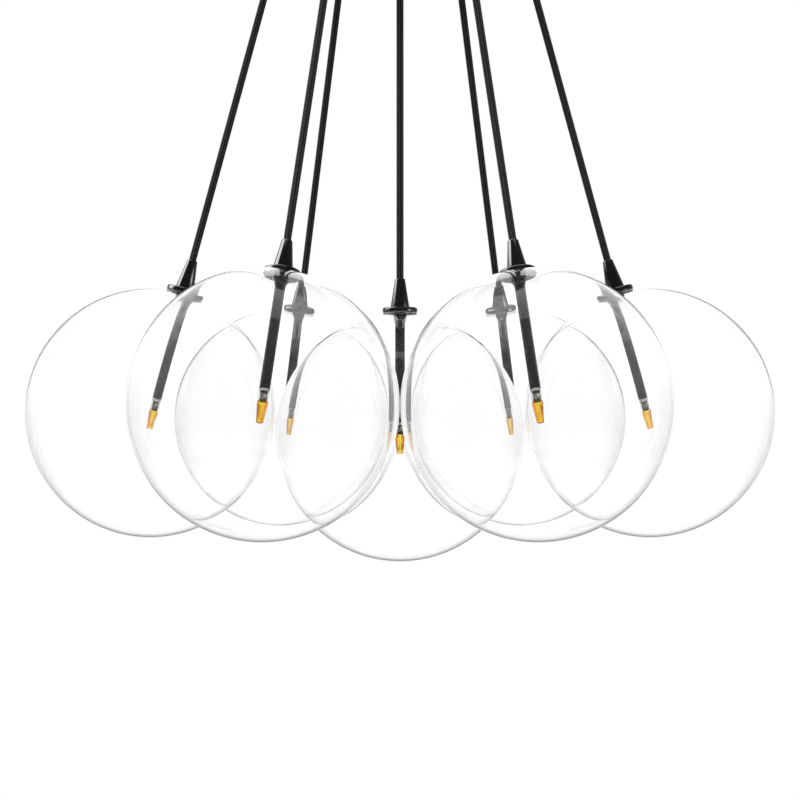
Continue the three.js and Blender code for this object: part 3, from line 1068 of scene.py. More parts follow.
@dataclass(frozen=True)
class Fitting:
    """The black metal that carries the globe: cap, flange and stem.

    Attributes:
        head: The heights that they share.
        cap_base: The cap's diameter at its foot.
        cap_top: Its diameter at the cord.
        cap_height: Its height.
        cap_edge: The rounding at its top.
        flange_diameter: The flange's diameter.
        flange_edge: The rounding of its rim.
        stem_bore: The stem's inside diameter.
        screw_height: Height of the set screw above the cap's base.
        screw_radius: The set screw's radius.
        screw_socket: The radius and the depth of the socket in it.
        screw_proud: How far it stands out of the cap.
        sides: Steps in a full turn.
    """

    head: Head = Head()
    cap_base: float = 0.019
    cap_top: float = 0.010
    cap_height: float = 0.029
    cap_edge: float = 0.0008
    flange_diameter: float = 0.035
    flange_edge: float = 0.0019
    stem_bore: float = 0.0076
    screw_height: float = 0.008
    screw_radius: float = 0.0015
    screw_socket: float = 0.0009
    screw_proud: float = 0.0001
    sides: int = 64

    def build(self, hanger: Hanger) -> None:
        """Makes one pendant's cap, flange and stem.

        Args:
            hanger: Where they hang.
        """
        hanger.dress(self.cap(), "cap_cone", "cap", Slot.METAL, 35.0, Finishes.enamel, Finishes.dark_lead_and_shade)
        hanger.dress(self.flange(), "flange_disc", "flange", Slot.METAL, 35.0, Finishes.enamel)
        hanger.dress(self.stem(), "stem_tube", "stem", Slot.METAL, 35.0, Finishes.satin)

    @cache
    def cap(self) -> Stamp:
        """Makes the cap with its bores and its set screw at the back.

        Returns:
            The cap.
        """
        head = self.head
        base, foot, top = head.cap, self.cap_base / 2, head.cap + self.cap_height
        bore = head.cord_diameter / 2 + head.clearance
        socket = head.stem_diameter / 2 + head.clearance
        shoulder = head.stem_top + head.clearance
        outside = [(socket, base), (foot, base, 0.0004, 3), (self.cap_top / 2, top, self.cap_edge, 4)]
        inside = [(bore, top, *SOFT), (bore, shoulder), (socket, shoulder)]
        shell = Shape.turned(outside + inside, self.sides, closed=True)
        slope = math.atan2((self.cap_base - self.cap_top) / 2, self.cap_height)
        deep = self.screw_socket
        recess = [(0.0, -deep), (deep, -deep), (deep, 0.0)]
        rim = [(self.screw_radius, 0.0, 0.0002, 2), (self.screw_radius, -0.002), (0.0, -0.002)]
        screw = Shape.turned(recess + rim, 18).painted(1)
        reach = foot - math.tan(slope) * self.screw_height + self.screw_proud
        place = Matrix.Translation((0.0, reach, base + self.screw_height))
        return shell.joined(screw.moved(place @ Matrix.Rotation(slope - math.pi / 2, 4, "X"))).stamp()

    @cache
    def flange(self) -> Stamp:
        """Makes the flange, a disc with a rounded rim, hollowed below to follow the globe.

        Returns:
            The flange.
        """
        head = self.head
        rim, bore = self.flange_diameter / 2, head.stem_diameter / 2 + head.clearance
        hollow = [(rim * share, head.skin(rim * share) + head.clearance) for share in (0.5, 0.7, 0.85, 1.0)]
        hollow[-1] += (self.flange_edge, 8)
        top = head.flange + head.flange_thickness
        upper = [(rim, top, self.flange_edge, 8), (bore, top, *SOFT)]
        return Shape.turned([(bore, head.flange, *SOFT), *hollow, *upper], self.sides, closed=True).stamp()

    @cache
    def stem(self) -> Stamp:
        """Makes the stem, a tube with softened ends.

        Returns:
            The stem.
        """
        bore, outside = self.stem_bore / 2, self.head.stem_diameter / 2
        low, top = self.head.stem_end, self.head.stem_top
        lower = [(bore, low, 0.0002, 2), (outside, low, 0.0003, 3)]
        upper = [(outside, top, 0.0003, 3), (bore, top, 0.0002, 2)]
        return Shape.turned(lower + upper, self.sides, closed=True).stamp()


@dataclass(frozen=True)
class Clamp:
    """The bar inside the globe that holds the glass, with its soft washers and its nut.

    Attributes:
        head: The heights that it shares.
        length: The bar's length, more than the hole's.
        width: Its width, less than the hole's.
        thickness: Its thickness.
        washer: Thickness of the soft washer at each end.
        washer_width: Its width across the bar.
        washer_length: Its length along the bar.
        washer_inset: From the bar's end to the washer's middle.
        nut_height: Height of the cone nut below it.
        nut_diameter: Its diameter at the bar.
        nut_tip: Its diameter at its lower end.
        nut_band: Height of its straight band at the bar.
        sides: Steps in a full turn.
    """

    head: Head = Head()
    length: float = 0.019
    width: float = 0.013
    thickness: float = 0.003
    washer: float = 0.0006
    washer_width: float = 0.007
    washer_length: float = 0.0022
    washer_inset: float = 0.0016
    nut_height: float = 0.0048
    nut_diameter: float = 0.0124
    nut_tip: float = 0.0105
    nut_band: float = 0.0008
    sides: int = 48

    def build(self, hanger: Hanger) -> None:
        """Makes one clamp where the pendant hangs."""
        hanger.dress(self.shape(), "clamp_bar", "clamp", Slot.METAL, 30.0, Finishes.enamel, Finishes.silicone)

    @cache
    def shape(self) -> Stamp:
        """Makes the bar, its washers, its nut and the bush that keeps the stem off the glass.

        Returns:
            The clamp's mesh.
        """
        head, end = self.head, self.length / 2
        inside = head.globe_diameter / 2 - head.wall
        top = math.sqrt(inside ** 2 - end ** 2) - self.washer
        low = top - self.thickness
        stem, bore = head.stem_diameter / 2, head.stem_diameter / 2 + head.clearance
        ends = [(bore, low), (end, low, 0.0004, 2), (end, top, 0.0004, 2), (bore, top)]
        bar = Shape.turned(ends, self.sides, closed=True)
        for way in (1.0, -1.0):
            bar.cut((way * self.width / 2, 0.0, 0.0), (way, 0.0, 0.0))
        bar.capped().welded()
        pad = (self.washer_width, self.washer_length, self.washer)
        for way in (1.0, -1.0):
            place = (0.0, way * (end - self.washer_inset), top + self.washer / 2)
            bar.joined(Shape.block(pad, place, 0.0002).painted(1))
        tip, foot, waist = self.nut_tip / 2, low - self.nut_height, self.nut_diameter / 2
        cone = [(stem, foot), (tip, foot, 0.0001, 2), (waist, low - self.nut_band, 0.0004, 3)]
        nut = Shape.turned([*cone, (waist, low, 0.0001, 2), (stem, low)], self.sides, closed=True)
        throat = head.hole_diameter / 2 - head.clearance
        ring = [(stem, top), (throat, top), (throat, head.flange), (stem, head.flange)]
        return bar.joined(nut, Shape.turned(ring, self.sides, closed=True)).stamp()


def on_circle(radius: float, turn: float, height: float) -> Place:
    """Gives a place by its distance from Z, its turn in radians and its height."""
    return (radius * math.cos(turn), radius * math.sin(turn), height)


@dataclass(frozen=True)
class Lamp:
    """The lampholder in the stem's end and the plug-in lamp below it.

    Attributes:
        head: The heights that they share.
        holder_rim: Diameter of the holder's rim.
        holder_rim_height: The rim's height.
        holder_body: Diameter of the holder inside the stem.
        holder_length: Its length.
        pin_pitch: Between the two pins.
        pin_diameter: A pin's diameter.
        pin_length: How far a pin reaches into the holder.
        pin_clearance: Round a pin.
        collar_diameter: The clear collar's diameter.
        collar_length: Its length.
        collar_wall: Its wall.
        lens_top: The lens's diameter at the collar.
        lens_tip: Its diameter at the tip.
        lens_length: Its length.
        lens_flutes: Flutes round the lens.
        flute_depth: Their depth.
        board_width: The board's width.
        board_thickness: Its thickness.
        chip_height: How far the chips stand out of it.
        chips: Place across and up, width, length and finish of each chip on one side.
        plug_diameter: The dark plug where the collar ends.
        plug_height: Its height.
        lid_height: Height of the dark lid under the holder.
        play: Between the collar and what is in it.
        leads: Turn, radius and finish of each lead round the board.
        wick_path: Radius, turn and height of each point of a filament, from just above the lens.
        wick_radius: A filament's radius.
        wick_turns: Where round the lamp they stand.
        sides: Steps in a full turn.
    """

    head: Head = Head()
    holder_rim: float = 0.0096
    holder_rim_height: float = 0.0012
    holder_body: float = 0.0070
    holder_length: float = 0.012
    pin_pitch: float = 0.004
    pin_diameter: float = 0.001
    pin_length: float = 0.007
    pin_clearance: float = 0.0003
    collar_diameter: float = 0.0096
    collar_length: float = 0.0103
    collar_wall: float = 0.0005
    lens_top: float = 0.0102
    lens_tip: float = 0.0064
    lens_length: float = 0.020
    lens_flutes: int = 12
    flute_depth: float = 0.00022
    board_width: float = 0.0068
    board_thickness: float = 0.0008
    chip_height: float = 0.0012
    chips: tuple[tuple[float, float, float, float, int], ...] = (
        (-0.0022, 0.0012, 0.0013, 0.0026, 1),
        (-0.0020, -0.0018, 0.0011, 0.0018, 1),
        (0.0014, 0.0008, 0.0026, 0.0034, 0),
        (0.0016, -0.0020, 0.0016, 0.0010, 1),
    )
    plug_diameter: float = 0.0072
    plug_height: float = 0.0014
    lid_height: float = 0.0012
    play: float = 0.0004
    leads: tuple[tuple[float, float, int], ...] = (
        (2.7, 0.0003, 1),
        (3.9, 0.0003, 2),
        (4.5, 0.00025, 1),
        (5.9, 0.00035, 1),
        (0.8, 0.0003, 2),
        (1.5, 0.0003, 1),
    )
    wick_path: tuple[Place, ...] = (
        (0.0019, 0.0, -0.0006),
        (0.0022, 0.1, -0.0060),
        (0.0018, 0.3, -0.0125),
        (0.0013, 0.4, -0.0175),
    )
    wick_radius: float = 0.00018
    wick_turns: tuple[float, ...] = (0.3, 2.9, 4.2, 5.3)
    sides: int = 48

    @property
    def rim_base(self) -> float:
        """Height of the holder's lower face."""
        return self.head.stem_end - self.head.clearance - self.holder_rim_height

    @property
    def collar_top(self) -> float:
        """Height of the collar's upper face."""
        return self.rim_base - self.head.clearance

    @property
    def lens_top_height(self) -> float:
        """Height where the collar ends and the lens starts."""
        return self.collar_top - self.collar_length

    @property
    def pin_places(self) -> tuple[float, float]:
        """The two pins' places across the lamp."""
        return (-self.pin_pitch / 2, self.pin_pitch / 2)

    def build(self, hanger: Hanger) -> None:
        """Makes one pendant's lampholder and lamp.

        Args:
            hanger: Where they hang.
        """
        # the holder wears ceramic and, round its pins, painted shade
        ceramic_and_hole_shade = (Finishes.ceramic, Finishes.dark_lead_and_shade)
        wired = (Finishes.board, Finishes.dark_lead_and_shade, Finishes.tin, Finishes.wick)
        hanger.dress(self.holder(), "holder", "lampholder", Slot.CERAMIC, 30.0, *ceramic_and_hole_shade)
        hanger.dress(self.collar(), "lamp_collar", "", Slot.LAMP, 40.0, Finishes.collar_glass)
        hanger.dress(self.core(), "lamp_core", "", Slot.LAMP, 40.0, *wired)
        hanger.dress(self.lens(), "lamp_lens", "lamp", Slot.LAMP, 40.0, Finishes.amber)

    @cache
    def holder(self) -> Stamp:
        """Makes the ceramic insert, with a dark ring round each pin that is painted shade for the gap of its
        hole.

        Returns:
            The lampholder.
        """
        low, rim, body = self.rim_base, self.holder_rim / 2, self.holder_body / 2
        step = low + self.holder_rim_height
        top = step + self.holder_length
        foot = [(0.0, low), (rim, low, 0.0003, 3), (rim, step, 0.0002, 2)]
        made = Shape.turned([*foot, (body, step), (body, top, 0.0004, 3), (0.0, top)], self.sides)
        # painted shade: a thin dark ring on the solid face round each pin, where its hole's gap would be
        # shaded
        hole, edge = self.pin_diameter / 2 + 0.0001, self.pin_diameter / 2 + self.pin_clearance
        face, depth = low - 0.00004, low + 0.0002
        for x in self.pin_places:
            ring = Shape.turned([(hole, face), (edge, face), (edge, depth), (hole, depth)], 16, closed=True)
            made.joined(ring.painted(1).shifted(x, 0.0, 0.0))
        return made.stamp()

    @cache
    def collar(self) -> Stamp:
        """Makes the clear collar, a short tube with a closed top.

        Returns:
            The collar.
        """
        outside, top, base = self.collar_diameter / 2, self.collar_top, self.lens_top_height + 0.0002
        inside, ceiling = outside - self.collar_wall, top - self.collar_wall
        inner = [(0.0, ceiling), (inside, ceiling, 0.0003, 3), (inside, base)]
        outer = [(outside, base), (outside, top, 0.0005, 4), (0.0, top)]
        return Shape.turned(inner + outer, self.sides).stamp()

    @cache
    def core(self) -> Stamp:
        """Makes what shows through the glass: a board with chips and leads between dark discs, and the pins.

        Returns:
            The lamp's core.
        """
        top, low = self.collar_top - self.collar_wall - self.play, self.lens_top_height + 0.0003
        middle, under = (top + low) / 2, top - self.lid_height
        reach, waist = self.collar_diameter / 2 - self.collar_wall - self.play, self.plug_diameter / 2
        ledge = low + self.plug_height
        nose = [(0.0, low - 0.001), (reach * 0.5, low - 0.001, 0.0004, 3), (waist, low + 0.0002, 0.0004, 3)]
        plug = Shape.turned([*nose, (waist, ledge, *SOFT), (0.0, ledge)], 32)
        lid = Shape.turned([(0.0, under), (reach, under, *SOFT), (reach, top, *SOFT), (0.0, top)], 32)
        size = (self.board_width, self.board_thickness, top - low - 0.002)
        made = Shape.block(size, (0.0, 0.0, middle), 0.0001).joined(plug.painted(1), lid.painted(1))
        for way in (1.0, -1.0):
            for x, z, width, length, paint in self.chips:
                place = (way * x, -way * (self.board_thickness + self.chip_height) / 2, middle + z)
                made.joined(Shape.block((width, self.chip_height, length), place, 0.00015).painted(paint))
        for turn, radius, paint in self.leads:
            path = [
                on_circle(reach * 0.7, turn, top - 0.0008),
                on_circle(reach * 0.86, turn, middle + 0.001),
                on_circle(reach * 0.9, turn + 0.25, middle - 0.001),
                on_circle(reach * 0.8, turn + 0.3, low + 0.0006),
            ]
            made.joined(Shape.tube(path, radius, 8).painted(paint))
        radius = self.pin_diameter / 2
        start, end = self.collar_top + 0.00005, self.collar_top + self.pin_length
        for x in self.pin_places:
            pin = Shape.turned([(0.0, start), (radius, start), (radius, end, 0.0003, 3), (0.0, end)], 16)
            made.joined(pin.painted(2).shifted(x, 0.0, 0.0))
        for turn in self.wick_turns:
            path = [on_circle(away, turn + bend, low + rise) for away, bend, rise in self.wick_path]
            made.joined(Shape.tube(path, self.wick_radius, 8).painted(3))
        return made.stamp()

    @cache
    def lens(self) -> Stamp:
        """Makes the amber lens, fluted, which tapers to a flat tip.

        Returns:
            The lens.
        """
        top, tip = self.lens_top_height, self.lens_top_height - self.lens_length
        point, shoulder, neck = self.lens_tip / 2, self.lens_top / 2, self.collar_diameter / 2
        taper = [(0.0, tip), (point, tip, 0.0007, 4), (shoulder, top - 0.0012, 0.0012, 4)]
        made = Shape.turned([*taper, (neck, top, 0.0002, 2), (0.0, top)], self.lens_flutes * 8)
        for spot in made.bm.verts:
            radius = math.hypot(spot.co.x, spot.co.y)
            if radius > self.lens_tip / 3 and spot.co.z < top - 0.001:
                wave = 0.5 - 0.5 * math.cos(self.lens_flutes * math.atan2(spot.co.y, spot.co.x))
                spot.co.xy *= 1.0 - self.flute_depth * wave / radius
        return made.stamp()


@dataclass(frozen=True)
class Canopy:
    """The ceiling canopy: the pan, its seven cord grips and the two screws that hold it.

    Attributes:
        cluster: How the pendants are set out.
        wall: The pan's wall.
        edge: Outside radius of its lower edge.
        grip_diameter: A grip's diameter at the pan.
        grip_tip: Its diameter at the mouth.
        grip_taper: Height of its tapered part.
        grip_bore: Its inside diameter.
        nut_reach: How much further out its nut goes.
        nut_height: The nut's height.
        screw_diameter: A side screw's head.
        screw_height: How far its middle stands out.
        screw_side: Height of its side, before the rounding.
        screw_seat: How deep it sits in the pan's side.
        screw_drop: How far below the ceiling the side screws are.
        recess: Length, width and depth of each bar of a screw's cross recess.
    """

    cluster: Cluster = Cluster()
    wall: float = 0.0015
    edge: float = 0.006
    grip_diameter: float = 0.014
    grip_tip: float = 0.011
    grip_taper: float = 0.004
    grip_bore: float = 0.0074
    nut_reach: float = 0.0015
    nut_height: float = 0.003
    screw_diameter: float = 0.006
    screw_height: float = 0.0020
    screw_side: float = 0.0014
    screw_seat: float = 0.0002
    screw_drop: float = 0.0105
    recess: Place = (0.0026, 0.0006, 0.0004)

    def build(self) -> None:
        """Makes the pan, the grips and the side screws."""
        pan = Label("canopy_pan", "canopy", Slot.METAL, ("canopy_cover",), 35.0)
        self.pan().piece(pan, STILL, Finishes.enamel)
        for name, place in self.cluster.grip_places().items():
            grip = Label(f"cord_grip_{name}", "canopy", Slot.METAL, (), 30.0)
            self.grip().piece(grip, Matrix.Translation(place), Finishes.enamel)
        for side, turn in (("right", 0.0), ("left", math.pi)):
            screw = Label(f"cover_screw_{side}", "canopy", Slot.METAL, (), 30.0)
            self.screw().piece(screw, Matrix.Rotation(turn, 4, "Z"), Finishes.enamel, Finishes.dark_lead_and_shade)

    def pan(self) -> Stamp:
        """Makes the pan, open towards the ceiling.

        Returns:
            The pan.
        """
        radius, base = self.cluster.canopy_radius, -self.cluster.canopy_depth
        inside, floor = radius - self.wall, base + self.wall
        outer = [(0.0, base), (radius, base, self.edge, 10), (radius, 0.0, *SOFT)]
        inner = [(inside, 0.0, *SOFT), (inside, floor, self.edge - self.wall, 8), (0.0, floor)]
        return Shape.turned(outer + inner, 144).stamp()

    @cache
    def grip(self) -> Stamp:
        """Makes one cord grip: a tapered collar under the pan and a nut inside it.

        Returns:
            The grip.
        """
        bore, outside, tip = self.grip_bore / 2, self.grip_diameter / 2, self.grip_tip / 2
        base = -self.cluster.canopy_depth
        mouth, root, floor = base - self.cluster.grip_length, base + 0.0004, base + self.wall
        taper = mouth + self.grip_taper
        cone = [(bore, mouth, 0.0004, 3), (tip, mouth, 0.0008, 4), (outside, taper, 0.0008, 4)]
        collar = Shape.turned([*cone, (outside, root), (bore, root)], 48, closed=True)
        flat, top = outside + self.nut_reach, floor + self.nut_height
        hexagon = [(bore, floor), (flat, floor, *SOFT), (flat, top, 0.0004, 2), (bore, top)]
        return collar.joined(Shape.turned(hexagon, 6, closed=True)).stamp()

    @cache
    def screw(self) -> Stamp:
        """Makes one side screw's round head, with a cross recess.

        Returns:
            The screw, at the canopy's right.
        """
        radius, top = self.screw_diameter / 2, self.screw_height
        side = [(0.0, 0.0), (radius, 0.0), (radius, self.screw_side, 0.0009, 4)]
        head = Shape.turned([*side, (0.0, top)], 32)
        length, width, depth = self.recess
        for size in ((length, width, depth), (width, length, depth)):
            head.joined(Shape.block(size, (0.0, 0.0, top - 0.0001), 0.0001).painted(1))
        reach = self.cluster.canopy_radius - self.screw_seat
        place = Matrix.Translation((reach, 0.0, -self.screw_drop))
        return head.moved(place @ Matrix.Rotation(math.pi / 2, 4, "Y")).stamp()


@dataclass(frozen=True)
class CeilingFittings:
    """What the canopy hides: the strap, the driver, the terminal block, their screws and their wires.

    Attributes:
        strap_thickness: The strap's sheet.
        clearance: Between the strap and what hangs under it.
        driver_start: The driver's near end.
        driver_length: Its length.
        tab_length: Length of its screw tabs.
        tab_height: Their thickness.
        block_middle: The terminal block's middle.
        block_pitch: Between its wire ways.
        block_height: Its height.
        screw_rows: The two rows of its screws, across the canopy.
        tab_screw: Radius and height of a driver screw's head.
        block_screw: Radius and height of a terminal screw's head.
        wire: A wire's radius.
        wire_drop: How far a wire's entry is under the block's top.
        wire_lift: How much lower the neutral wire hangs than the live one.
    """

    strap_thickness: float = 0.0025
    clearance: float = 0.0003
    driver_start: float = 0.016
    driver_length: float = 0.072
    tab_length: float = 0.007
    tab_height: float = 0.003
    block_middle: float = -0.047
    block_pitch: float = 0.010
    block_height: float = 0.013
    screw_rows: tuple[float, float] = (-0.0021, 0.0021)
    tab_screw: tuple[float, float] = (0.0026, 0.0016)
    block_screw: tuple[float, float] = (0.0014, 0.0008)
    wire: float = 0.0011
    wire_drop: float = 0.004
    wire_lift: float = 0.0026

    @property
    def seat(self) -> float:
        """Height of the tops of what hangs under the strap."""
        return -self.strap_thickness - self.clearance

    @property
    def ways(self) -> list[float]:
        """The places of the terminal block's three ways."""
        return [self.block_middle + self.block_pitch * way for way in (-1.0, 0.0, 1.0)]

    def build(self, nodes: dict[str, bpy.types.Object]) -> None:
        """Gives the solids their finishes and adds the screws and wires.

        Args:
            nodes: The frame's solids by name.
        """
        finishes = {
            "ceiling_bracket": Finishes.zinc,
            "led_driver": Finishes.driver,
            "terminal_block": Finishes.terminal,
        }
        for name, finish in finishes.items():
            nodes[name].data.materials.clear()
            nodes[name].data.materials.append(finish.material())
            LOG.info("%s wears %s", name, finish.name)
        self.tab_screws()
        self.clamp_screws()
        self.wires()

    def screws(
        self, name: str, places: Sequence[Place], radius: float, height: float, finish: Finish
    ) -> None:
        """Makes a piece of slotted round heads that point down, each slot a dark bar of painted shade.

        Args:
            name: The piece's name.
            places: The middle of each head's flat side.
            radius: A head's radius.
            height: Its height.
            finish: Its finish.
        """
        made = Shape()
        outline = [(0.0, -height), (radius, -height, height * 0.6, 3), (radius, 0.0), (0.0, 0.0)]
        for place in places:
            # painted shade: each slot is a thin dark bar on the head's tip in place of a shaded groove
            size, depth = (radius * 1.7, radius * 0.28, height * 0.1), (0.0, 0.0, -height * 1.02)
            slot = Shape.block(size, depth, height * 0.03).painted(1)
            made.joined(Shape.turned(outline, 24).joined(slot).shifted(*place))
        made.stamp().piece(Label(name, "canopy", Slot.ZINC, (), 30.0), STILL, finish, Finishes.dark_lead_and_shade)

    def tab_screws(self) -> None:
        """Makes the two screws that hold the driver."""
        tab, start, end = self.tab_length / 2, self.driver_start, self.driver_start + self.driver_length
        places = [(x, 0.0, self.seat - self.tab_height) for x in (start - tab, end + tab)]
        self.screws("driver_screws", places, *self.tab_screw, Finishes.tin)

    def clamp_screws(self) -> None:
        """Makes the terminal block's screws, two to a way."""
        places = [(x, y, self.seat - self.block_height) for x in self.ways for y in self.screw_rows]
        self.screws("terminal_screws", places, *self.block_screw, Finishes.brass)

    def wires(self) -> None:
        """Makes the two mains wires from the block to the driver."""
        top, end = self.seat - self.wire_drop, self.driver_start - 0.0002
        kinds = (("live", Finishes.live, 0.0), ("neutral", Finishes.neutral, self.wire_lift))
        for x, (name, finish, lift) in zip(self.ways[1:], kinds):
            route = [
                (x, 0.0062, top),
                (x, 0.0100, top - 0.0004),
                (x + 0.003, 0.0132, top - 0.002 - lift),
                (x + 0.010, 0.0140, top - 0.004 - lift),
                (end - 0.022, 0.0125, top - 0.006 - lift),
                (end - 0.010, 0.0095, top - 0.007 - lift),
                (end - 0.003, 0.0080, top - 0.007 - lift),
                (end + 0.001, 0.0080, top - 0.007 - lift),
            ]
            label = Label(f"{name}_wire", "canopy", Slot.TERMINAL, (), 60.0)
            Shape.tube(smooth_route(route, 5), self.wire, 10).stamp().piece(label, STILL, finish)


def smooth_route(points: Sequence[Place], steps: int) -> list[Vector]:
    """Rounds a route with a spline through its points.

    Args:
        points: The route's points.
        steps: Steps between one point and the next.

    Returns:
        The finer route.
    """
    stops = [Vector(point) for point in points]
    ends = [2 * stops[0] - stops[1], *stops, 2 * stops[-1] - stops[-2]]
    made = [stops[0]]
    for before, start, end, after in zip(ends, ends[1:], ends[2:], ends[3:]):
        bow = 2 * before - 5 * start + 4 * end - after
        twist = 3 * start - before - 3 * end + after
        for step in range(1, steps + 1):
            t = step / steps
            made.append(0.5 * (2 * start + (end - before) * t + bow * t * t + twist * t ** 3))
    return made


@dataclass(frozen=True)
class Panel:
    """One soft studio light.

    Attributes:
        name: Its name.
        place: Where it is.
        aim: What it faces.
        size: Its width and height.
        power: Its power in watts.
    """

    name: str
    place: Place
    aim: Place
    size: tuple[float, float]
    power: float

    def build(self) -> None:
        """Makes the light, which only shines and is never seen."""
        lamp = bpy.data.lights.new(self.name, "AREA")
        lamp.shape = "RECTANGLE"
        lamp.size, lamp.size_y = self.size
        lamp.energy = self.power
        made = bpy.data.objects.new(self.name, lamp)
        made.location = self.place
        made.rotation_euler = (Vector(self.aim) - Vector(self.place)).to_track_quat("-Z", "Y").to_euler()
        for kind in ("camera", "glossy", "transmission"):
            setattr(made, f"visible_{kind}", False)
        bpy.context.scene.collection.objects.link(made)
        LOG.info("%s shines on the chandelier", self.name)


@dataclass(frozen=True)
class Patch:
    """A brighter or darker patch of the surroundings in reflections, as a box of directions.

    Attributes:
        low: Least X, Y and Z of its directions.
        high: Greatest X, Y and Z of its directions.
        level: Its brightness, where 1 is white.
        soft: Width of its soft edge.
        fade: How much softer its upper and lower edges are.
    """

    low: Place
    high: Place
    level: float
    soft: float = 0.03
    fade: float = 0.0

    def over(self, wiring: Wiring, axes: Sequence[Socket], under: Socket) -> Socket:
        """Wires the patch over what is there.

        Args:
            wiring: The world's nodes.
            axes: X, Y and Z of the direction.
            under: The colour outside the patch.

        Returns:
            The colour with the patch in it.
        """
        share: object = 1.0
        for axis, low, high, more in zip(axes, self.low, self.high, (0.0, 0.0, self.fade)):
            soft = self.soft + more
            for start, end in ((low - soft, low + soft), (high + soft, high - soft)):
                inside = wiring.spread({"Value": axis, "From Min": start, "From Max": end})
                share = wiring.maths("MULTIPLY", share, inside)
        return wiring.blend(share, under, grey(self.level))


